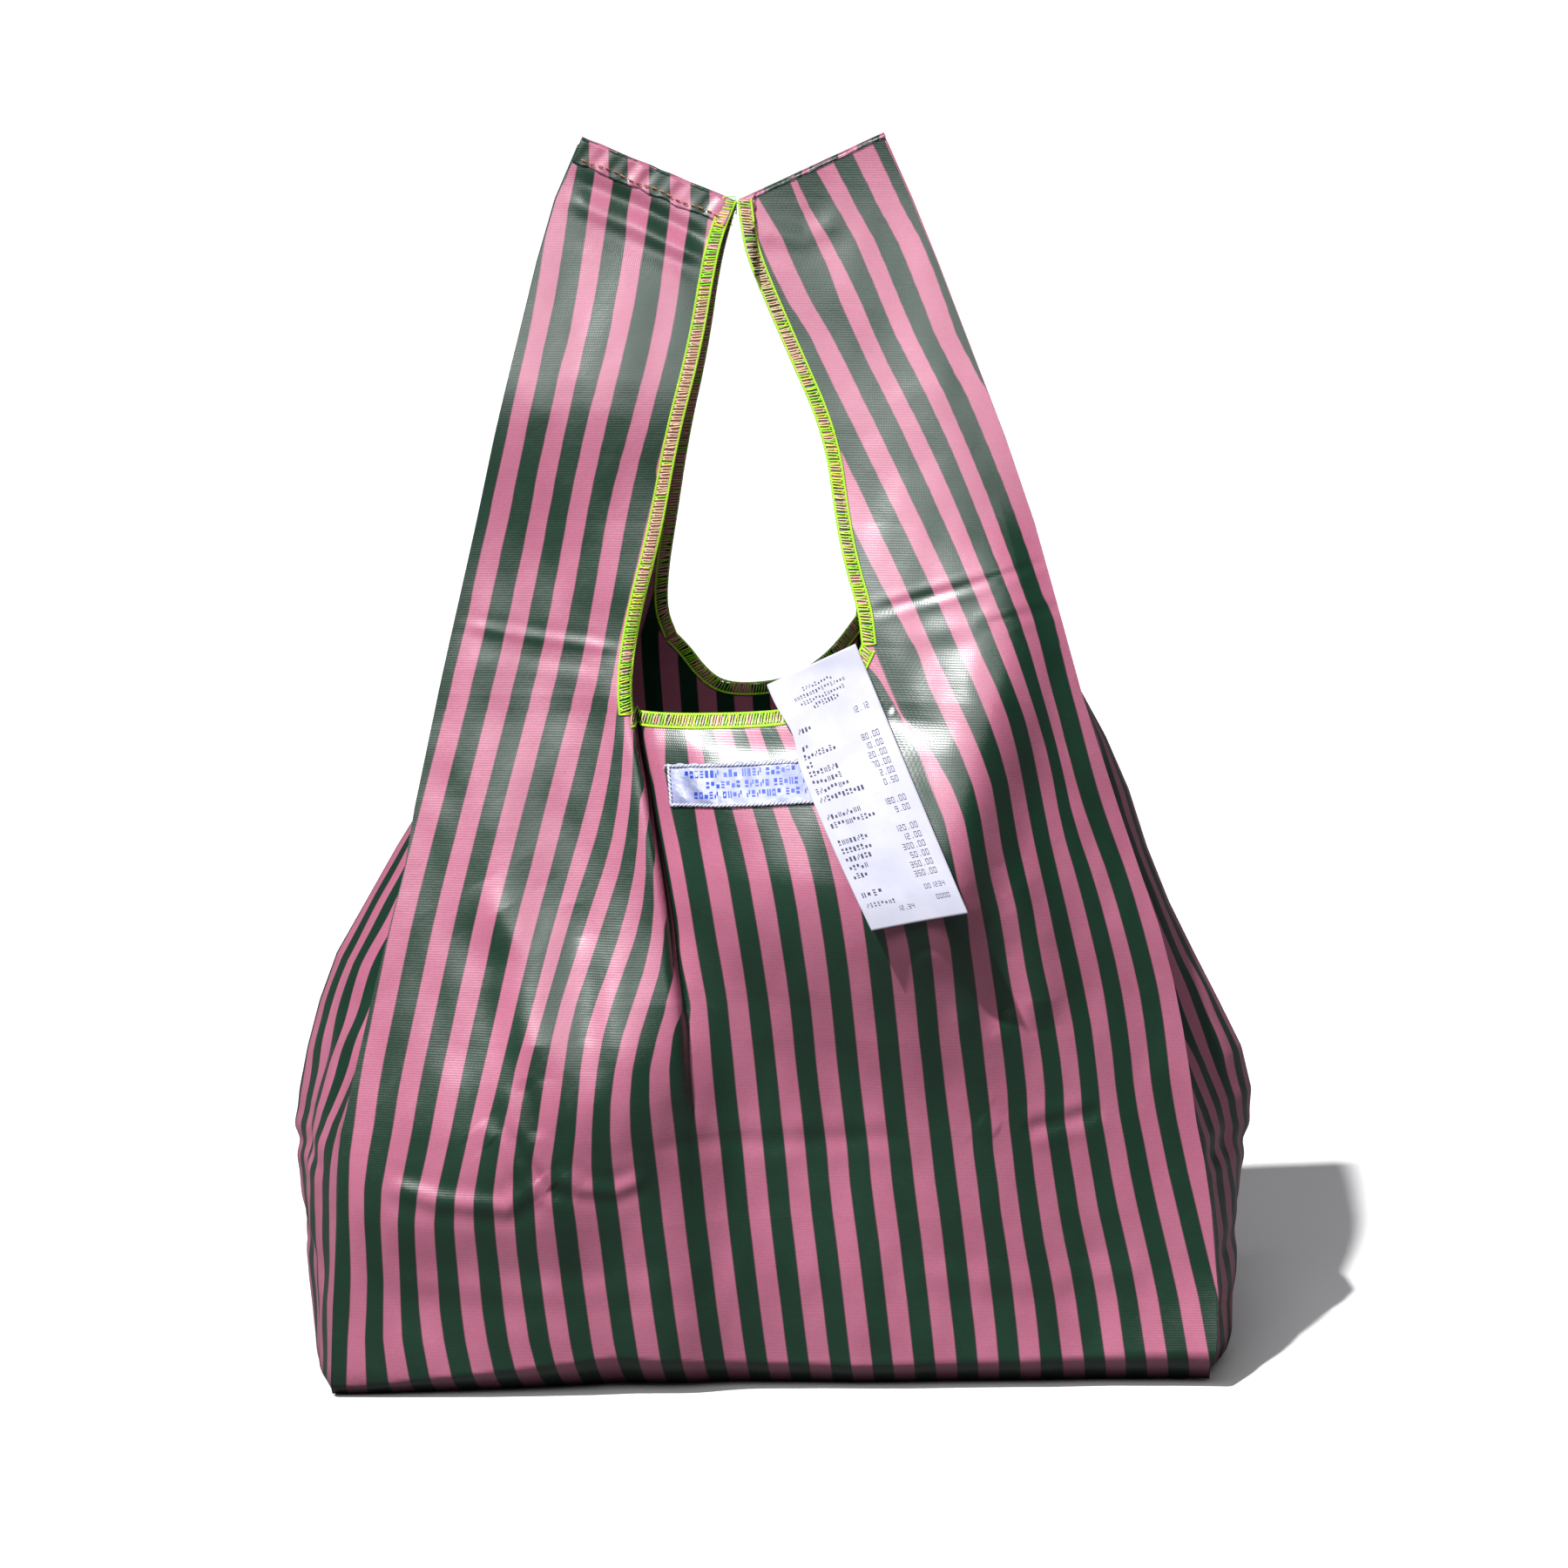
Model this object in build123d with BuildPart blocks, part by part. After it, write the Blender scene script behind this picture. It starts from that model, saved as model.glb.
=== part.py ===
from build123d import *
import os
from collections import namedtuple
from math import cos, sin, radians, hypot, pi

# Soft carrier bag of T-shirt shape, standing up, with a paper slip in front of its front neckline.
# Frame: origin at the centre of the base on the floor, +Z up, the front faces -Y,
# +X is the viewer's right. Outlines are lists of (x, z) points. Sizes in mm.

FRONT, BACK = -1, 1    # sign of y
LEFT, RIGHT = -1, 1    # sign of x

# ---- cloth and sewing ----
cloth = 0.8            # sheet thickness of the laminated cloth
gap = 0.4              # clearance between neighbouring pieces
band_gap = 0.2         # clearance between an overlocked edge and its cloth
overlock_w = 6.8
overlock_t = 1.6
overlock_out = (overlock_t - cloth) / 2    # the overlock is centred on the cloth

# ---- base and body ----
base_t = 1.0
body_bottom = base_t + gap
face_top = 350         # height of the face sheets before trimming
gusset_top = 336
gusset_inset = 1.3     # from the face's half depth to the gusset's edge
gusset_half_gap = 0.35    # from the middle plane to each gusset half at the middle fold
neck_sheet_z = (310, 352)
seam_size = (400, 2.2)
seam_corner_r = 1.0
seam_h = 9             # height of the bottom seam allowance inside the bag

# ---- straps ----
strap_sheet_z = (300, 611)    # strap sheets before trimming
strap_gusset_inset = 1.9
swing_max = 50         # degrees each strap swings outward
swing_steps = 5
shoulder_gap = 0.8     # clearance around a strap's lower end
hem_h = 14             # height of the turned hem at the strap tops
hem_t = 12             # the hem's whole thickness, all folded layers
stitch_end = 6         # from the hem's ends to the stitching
stitch_top, stitch_bottom = 8, 9.4    # below the strap's top edge
stitch_near, stitch_far = 0.1, 0.8    # stitching's extent outward from the hem's face

# ---- label ----
label_size = (95.0, 20.5)
label_centre = (-3.5, 299.0)
label_tilt = 4.2
label_t = 0.5
label_gap = 0.2        # clearance behind the label and around its edge
label_stitch_w = 2.2
label_stitch_t = 1.0
label_sheet_z = (280, 320)

# ---- paper slip ----
slip_t = 0.5
slip_x = (-8, 98)      # sheet width before trimming
slip_corners = [(46.4, 234.9), (91.0, 241.0), (45.0, 363.0), (-0.7, 340.5)]
# height, distance from the middle plane
slip_profile = [(230, 122), (252, 113), (275, 108), (298, 104), (320, 98.5),
                (335, 94.5), (345, 91.5), (355, 88.5), (366, 85.5)]

# ---- body shape ----
# height, left and right face fold x, half depth at the folds, bulge of the face,
# left and right gusset fold x
LEFT_FOLD, RIGHT_FOLD, HALF_DEPTH, BULGE, LEFT_GUSSET, RIGHT_GUSSET = range(1, 7)
stations = [
    (0, -215, 214, 103, 7, -231, 228),
    (45, -213, 216, 102, 12, -236, 237),
    (87, -209.5, 212.5, 100, 18, -241, 239),
    (130, -208, 205, 97, 22, -240.5, 241),
    (171, -199, 199, 92, 24, -231, 226),
    (213, -190, 190, 85, 24, -213, 203),
    (254, -179, 176, 78, 22, -188, 186),
    (283, -174.5, 166, 72, 20, -174, 170),
    (337, -163.5, 148, 66, 16, -146, 130),
    (362, -158, 141, 60, 12, -133, 117),
    (420, -145, 125, 47, 6, -111, 92),
    (461, -136, 111, 38, 4, -98, 73),
    (503, -126, 95, 27, 3, -86, 55),
    (545, -116, 79, 17, 2, -76, 39),
    (587, -104, 62.5, 8, 1.2, -64, 22),
    (612, -94, 52, 6.5, 1, -56, 12),
]
fold_columns = {LEFT: (LEFT_FOLD, LEFT_GUSSET), RIGHT: (RIGHT_FOLD, RIGHT_GUSSET)}

# Edge of the neckline, from left to right
neck = [(-69.4, 336.5), (-69.0, 329.5), (-37, 328.5), (6.4, 331.3), (25, 339.2), (31.5, 344.5)]

# Base outline in X and Y
base_outline = [(-215, -102), (-110, -107), (0, -109), (110, -107), (214, -102), (229, 0),
                (214, 102), (110, 107), (0, 109), (-110, 107), (-215, 102), (-232, 0)]

# pivot and radius: bending point and half circle at the strap's lower end
# inner: edge beside the neck, going up; outer: edge at the bag's side, going down
Strap = namedtuple("Strap", "side pivot radius inner outer")
straps = {
    "left": Strap(
        LEFT, (-116.0, 350.0), 46.5,
        inner=[(-69.4, 354), (-64.9, 378.6), (-59.6, 399), (-54.6, 420), (-47.2, 461),
               (-35.5, 503), (-29.2, 544.7), (-25.5, 560.7), (-21.3, 573.4)],
        outer=[(-94.3, 604.5), (-104, 587), (-116, 545), (-126, 503), (-136, 461),
               (-145, 420), (-158, 362)]),
    "right": Strap(
        RIGHT, (91.0, 355.0), 52.0,
        inner=[(41.5, 362.7), (40, 378.6), (34, 399), (30, 420), (24, 461),
               (6.4, 503), (-11, 544.7), (-13.5, 560.7), (-14.0, 574.2)],
        outer=[(53.2, 606.6), (62.5, 587), (79, 545), (95, 503), (111, 461),
               (125, 420), (141, 362)]),
}


# ---- points and measures ----
def at(z, column):
    """A station column read at height z, straight between the stations."""
    for lower, upper in zip(stations, stations[1:]):
        if z <= upper[0]:
            part = (z - lower[0]) / (upper[0] - lower[0])
            return lower[column] + part * (upper[column] - lower[column])
    return stations[-1][column]


def levels(z_low, z_high):
    """Loft heights: both ends and the stations well between them."""
    margin = 4
    between = [s[0] for s in stations if z_low + margin < s[0] < z_high - margin]
    return [z_low] + between + [z_high]


def face_y(x, z, out):
    """Distance of a face from the middle plane, moved outward by out."""
    left, right = at(z, LEFT_FOLD), at(z, RIGHT_FOLD)
    across = (2 * x - left - right) / (right - left)
    return at(z, HALF_DEPTH) + at(z, BULGE) * (1 - across * across) + out


def shifted(points, distance):
    """A polyline moved sideways, to the right of its direction."""
    result = []
    for i, (x, z) in enumerate(points):
        x0, z0 = points[max(i - 1, 0)]
        x1, z1 = points[min(i + 1, len(points) - 1)]
        length = hypot(x1 - x0, z1 - z0)
        result.append((x + distance * (z1 - z0) / length, z - distance * (x1 - x0) / length))
    return result


def arc_bottom(centre, radius, steps):
    """Lower half circle, from the low-x end to the high-x end."""
    return [(centre[0] - radius * cos(pi * i / steps), centre[1] - radius * sin(pi * i / steps))
            for i in range(steps + 1)]


def turned(points, centre, degrees):
    c, s = cos(radians(degrees)), sin(radians(degrees))
    return [(centre[0] + (x - centre[0]) * c - (z - centre[1]) * s,
             centre[1] + (x - centre[0]) * s + (z - centre[1]) * c) for x, z in points]


# ---- solids, added to the part that is being built ----
def curved_section(z, outer, inner):
    """Level section between two splines; inner runs back from outer's end."""
    with BuildSketch(Plane.XY.offset(z)) as section:
        with BuildLine():
            Spline(*outer)
            Line(outer[-1], inner[0])
            Spline(*inner)
            Line(inner[-1], outer[0])
        make_face()
    return section.sketch


def face_sheet(face, out, thickness, z_low, z_high):
    """Curved sheet along a bag face, reaching past the folds."""
    overhang, spans = 9, 6
    sections = []
    for z in levels(z_low, z_high):
        left, right = at(z, LEFT_FOLD) - overhang, at(z, RIGHT_FOLD) + overhang
        xs = [left + (right - left) * i / spans for i in range(spans + 1)]
        outer = [(x, face * face_y(x, z, out)) for x in xs]
        inner = [(x, face * face_y(x, z, out - thickness)) for x in reversed(xs)]
        sections.append(curved_section(z, outer, inner))
    loft(sections)


def outline(points, mode, half_depth=150):
    """Prism of an outline, to both sides of the middle plane; by default past the whole bag."""
    with BuildSketch(Plane.XZ) as shape:
        with BuildLine():
            Polyline(*points, close=True)
        make_face()
    extrude(shape.sketch, amount=half_depth, both=True, mode=mode)


# ---- strap outlines ----
def strap_outline(strap):
    edges = strap.inner + strap.outer
    if strap.side == RIGHT:
        edges = edges[::-1]
    return arc_bottom(strap.pivot, strap.radius, 18) + edges


def band_edge(strap):
    """Inner edge of a strap, started at the end of its half circle."""
    start = (strap.pivot[0] - strap.side * strap.radius, strap.pivot[1] + 1.0)
    return [start] + strap.inner


def band_zone(strap):
    edge = band_edge(strap)
    return edge + shifted(edge, strap.side * overlock_w)[::-1]


def band_cut(strap):
    """Room for the overlock, from beyond the inner edge, closed at a low level."""
    beyond, low_z = 4, 300
    edge = band_edge(strap)
    cut = (shifted(edge, -strap.side * beyond)
           + shifted(edge, strap.side * (overlock_w + band_gap))[::-1])
    return [(cut[0][0], low_z)] + cut + [(cut[-1][0], low_z)]


def top_edge_points(strap, corners):
    """Points placed by (end of the top edge, distance along +x, distance down) in its tilt."""
    ends = sorted((strap.inner[-1], strap.outer[0]))
    (x0, z0), (x1, z1) = ends
    length = hypot(x1 - x0, z1 - z0)
    along_x, along_z = (x1 - x0) / length, (z1 - z0) / length
    return [(ends[end][0] + along * along_x + down * along_z,
             ends[end][1] + along * along_z - down * along_x) for end, along, down in corners]


def hem_zone(strap, grow):
    """Quadrilateral from the hem's lower edge to well above the strap."""
    height = hem_h + grow
    return top_edge_points(strap, [(0, -40, height), (1, 40, height), (1, 60, -60), (0, -60, -60)])


# ---- body outlines ----
neck_band_zone = neck + shifted(neck, overlock_w)[::-1]

neck_cut = shifted(neck, overlock_w + band_gap)
neck_cut_right = neck_cut[-1][0] + 2
neck_cut = ([(neck_cut[0][0], 345)] + neck_cut
            + [(neck_cut_right, 352), (neck_cut_right, 370), (-60, 370)])

side_levels = [45, 87, 130, 171, 213, 254, 283, 310]
body_outline = ([(at(z, LEFT_FOLD) + gap, z) for z in [gusset_top] + side_levels[::-1]]
                + [(-214.5, body_bottom), (213.5, body_bottom)]
                + [(at(z, RIGHT_FOLD) - gap, z) for z in side_levels + [343]])


def shoulder_cuts(strap):
    """Room for a strap's lower end through its whole swing."""
    x, z = strap.pivot
    radius = strap.radius + shoulder_gap
    upright_h, block_h = 60, 95
    cuts = [arc_bottom(strap.pivot, radius, 24)
            + [(x + radius, z + upright_h), (x - radius, z + upright_h)]]
    block = [(x - radius, z), (x + radius, z), (x + radius, z + block_h), (x - radius, z + block_h)]
    for step in range(1, swing_steps + 1):
        cuts.append(turned(block, strap.pivot, -strap.side * swing_max * step / swing_steps))
    return cuts


def cut_shoulders():
    for strap in straps.values():
        for points in shoulder_cuts(strap):
            outline(points, Mode.SUBTRACT)


# ---- body pieces ----
def body_panel(face):
    with BuildPart() as piece:
        face_sheet(face, 0, cloth, body_bottom, face_top)
        outline(body_outline, Mode.INTERSECT)
        cut_shoulders()
        outline(neck_cut, Mode.SUBTRACT)
    return piece.part


def neck_overlock(face):
    with BuildPart() as piece:
        face_sheet(face, overlock_out, overlock_t, *neck_sheet_z)
        outline(neck_band_zone, Mode.INTERSECT)
        cut_shoulders()
    return piece.part


def gusset_half(side, face):
    """One half of a side gusset, from the face fold to the gusset's middle fold."""
    face_fold, gusset_fold = fold_columns[side]
    sections = []
    for z in levels(body_bottom, gusset_top):
        edge_x, edge_y = at(z, face_fold), at(z, HALF_DEPTH) - gusset_inset
        fold_x, fold_y = at(z, gusset_fold), gusset_half_gap
        belly = 3.0 if z < 270 else 0.5
        mid_x, mid_y = (edge_x + fold_x) / 2 + side * belly, (edge_y + fold_y) / 2
        outer = [(edge_x, face * edge_y), (mid_x, face * mid_y), (fold_x, face * fold_y)]
        inner = [(x - side * cloth, y) for x, y in outer[::-1]]
        sections.append(curved_section(z, outer, inner))
    with BuildPart() as piece:
        loft(sections)
        cut_shoulders()
    return piece.part


def base_panel():
    with BuildPart() as piece:
        with BuildSketch():
            with BuildLine():
                Polyline(*base_outline, close=True)
            make_face()
        extrude(amount=base_t)
    return piece.part


def bottom_seam():
    with BuildPart() as piece:
        with BuildSketch(Plane.XY.offset(body_bottom)):
            RectangleRounded(*seam_size, seam_corner_r)
        extrude(amount=seam_h)
    return piece.part


# ---- label on the front ----
def label_rect(inset):
    half_l, half_h = label_size[0] / 2 - inset, label_size[1] / 2 - inset
    x, z = label_centre
    corners = [(x - half_l, z - half_h), (x + half_l, z - half_h),
               (x + half_l, z + half_h), (x - half_l, z + half_h)]
    return turned(corners, label_centre, label_tilt)


def front_label():
    with BuildPart() as piece:
        face_sheet(FRONT, label_gap + label_t, label_t, *label_sheet_z)
        outline(label_rect(label_stitch_w + label_gap), Mode.INTERSECT)
    return piece.part


def front_label_stitching():
    """Frame around the label."""
    with BuildPart() as piece:
        face_sheet(FRONT, label_gap + label_stitch_t, label_stitch_t, *label_sheet_z)
        outline(label_rect(0), Mode.INTERSECT)
        outline(label_rect(label_stitch_w), Mode.SUBTRACT)
    return piece.part


# ---- strap pieces ----
def strap_face(strap, face):
    with BuildPart() as piece:
        face_sheet(face, 0, cloth, *strap_sheet_z)
        outline(strap_outline(strap), Mode.INTERSECT)
        outline(band_cut(strap), Mode.SUBTRACT)
        outline(hem_zone(strap, gap), Mode.SUBTRACT)
    return piece.part


def strap_overlock(strap, face):
    with BuildPart() as piece:
        face_sheet(face, overlock_out, overlock_t, *strap_sheet_z)
        outline(band_zone(strap), Mode.INTERSECT)
        outline(hem_zone(strap, gap), Mode.SUBTRACT)
    return piece.part


def strap_gusset(strap):
    """Side cloth of a strap, folded in a V between its front and back faces."""
    face_fold, gusset_fold = fold_columns[strap.side]
    sections = []
    for z in levels(*strap_sheet_z):
        edge_x, edge_y = at(z, face_fold), at(z, HALF_DEPTH) - strap_gusset_inset
        fold_x = at(z, gusset_fold)
        inner_y = edge_y - cloth
        inner_x = edge_x + inner_y / edge_y * (fold_x - edge_x)
        with BuildSketch(Plane.XY.offset(z)) as section:
            with BuildLine():
                Polyline((edge_x, -edge_y), (fold_x, 0), (edge_x, edge_y),
                         (edge_x, inner_y), (inner_x, 0), (edge_x, -inner_y), close=True)
            make_face()
        sections.append(section.sketch)
    with BuildPart() as piece:
        loft(sections, ruled=True)
        outline(strap_outline(strap), Mode.INTERSECT)
        outline(hem_zone(strap, gap), Mode.SUBTRACT)
    return piece.part


def strap_hem(strap):
    with BuildPart() as piece:
        outline(strap_outline(strap), Mode.ADD, hem_t / 2)
        outline(hem_zone(strap, 0), Mode.INTERSECT)
    return piece.part


def hem_stitching(strap):
    """Two rows of running stitch, one on each face of the hem."""
    row = top_edge_points(strap, [(0, stitch_end, stitch_top), (1, -stitch_end, stitch_top),
                                  (1, -stitch_end, stitch_bottom), (0, stitch_end, stitch_bottom)])
    with BuildPart() as piece:
        outline(row, Mode.ADD, hem_t / 2 + stitch_far)
        outline(row, Mode.SUBTRACT, hem_t / 2 + stitch_near)
    return piece.part


def receipt():
    """Paper slip, a sheet curved in height and trimmed to its four corners."""
    left, right = slip_x
    with BuildPart() as piece:
        for z, y in slip_profile:
            with BuildSketch(Plane.XY.offset(z)):
                with BuildLine():
                    Polyline((left, -y), (right, -y), (right, -y + slip_t), (left, -y + slip_t),
                             close=True)
                make_face()
        loft()
        outline(slip_corners, Mode.INTERSECT)
    return piece.part


# ---- build and export ----
pieces = {
    "base_panel": base_panel(),
    "bottom_seam": bottom_seam(),
    "front_label": front_label(),
    "front_label_stitching": front_label_stitching(),
    "receipt": receipt(),
}
faces = {"front": FRONT, "back": BACK}
for face_name, face in faces.items():
    pieces[f"{face_name}_panel"] = body_panel(face)
    pieces[f"{face_name}_neck_overlock"] = neck_overlock(face)

for side_name, strap in straps.items():
    for face_name, face in faces.items():
        pieces[f"{side_name}_gusset_{face_name}_half"] = gusset_half(strap.side, face)
        pieces[f"{side_name}_strap_{face_name}"] = strap_face(strap, face)
        pieces[f"{side_name}_strap_{face_name}_overlock"] = strap_overlock(strap, face)
    pieces[f"{side_name}_strap_gusset"] = strap_gusset(strap)
    pieces[f"{side_name}_strap_hem"] = strap_hem(strap)
    pieces[f"{side_name}_strap_hem_stitching"] = hem_stitching(strap)

os.makedirs("parts", exist_ok=True)
for name, part in pieces.items():
    part.label = name
    export_step(part, f"parts/{name}.step")
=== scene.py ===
# A tall striped cloth carrier bag with two straps that meet at the top, a sewn label on the
# front and a paper slip tucked over its neckline. The bag stands on z = 0 with its front
# towards -y; left and right are -x and +x. Shapes are worked out in mm and built in metres.
# "Cloth u" is the distance across the cloth, in mm, that places the stripes.
import math
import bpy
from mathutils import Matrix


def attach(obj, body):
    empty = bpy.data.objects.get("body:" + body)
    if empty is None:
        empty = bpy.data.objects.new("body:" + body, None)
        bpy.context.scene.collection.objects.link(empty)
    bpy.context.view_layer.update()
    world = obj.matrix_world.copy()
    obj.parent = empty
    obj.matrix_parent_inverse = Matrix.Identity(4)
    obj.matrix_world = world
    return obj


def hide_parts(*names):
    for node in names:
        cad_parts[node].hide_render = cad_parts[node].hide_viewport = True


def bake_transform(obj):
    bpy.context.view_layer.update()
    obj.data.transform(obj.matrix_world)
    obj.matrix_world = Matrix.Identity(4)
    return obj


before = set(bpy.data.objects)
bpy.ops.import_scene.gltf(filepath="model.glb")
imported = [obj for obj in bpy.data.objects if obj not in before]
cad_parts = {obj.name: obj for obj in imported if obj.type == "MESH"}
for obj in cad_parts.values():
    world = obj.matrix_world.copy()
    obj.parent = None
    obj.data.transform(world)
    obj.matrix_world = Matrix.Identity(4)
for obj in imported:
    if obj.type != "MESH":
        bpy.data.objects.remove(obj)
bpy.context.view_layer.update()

from types import SimpleNamespace

import bpy
import numpy as np
from mathutils import Vector

rng = np.random.default_rng(7)
MM = 0.001
PERIOD = 20.2          # one green and one pink stripe
GREEN = 9.7            # the green one
FRONT, BACK = 0, 1


def number_table(columns, text):
    return np.array(text.split(), float).reshape(-1, columns)


# ---------------------------------------------------------------- shape tables (mm)
# height, left fold x, right fold x, half depth at the folds, bulge of the faces,
# left gusset middle x, right gusset middle x, gusset belly
LEFT, RIGHT, HALF_DEPTH, BULGE, LEFT_MID, RIGHT_MID, BELLY = range(1, 8)
STATIONS = number_table(8, """
0 -215 206 103 7 -231.5 226 3
6 -214.6 210 103 8 -232.5 230 4
18 -214 214 103 9 -234 233.5 4
45 -213 216 102 12 -236 236 5
87 -209.5 212.5 100 18 -241 239 4
111 -208.8 209 98.6 20.2 -243 241 2
130 -208 205 97 22 -241 241 -2
152 -203.5 202 94.5 23 -236.5 235.5 -7
176 -198 198 91.4 24 -230 223.5 -12
200 -192.5 193 87.5 24 -221 211 -15
226 -186 186 83 23 -206 198 -17
254 -179 176 78 22 -190 186.5 -17
283 -174.5 166 72 20 -172 177 -14
310 -169 157 69 18 -154 165 -6
337 -163.5 148 66 16 -124 150 0
362 -158 141 60 12 -98 128 0
420 -145 125 47 6 -72 74 0
461 -136 111 38 4 -60 46 0
503 -126 95 27 3 -50 22 0
545 -116 79 16 2 -42 2 0
575 -107.5 67 7.5 1.2 -36 -6 0
604 -95 54 3.6 0.8 -30 -8 0
640 -90 50 3.4 0.8 -30 -8 0
""")

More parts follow.
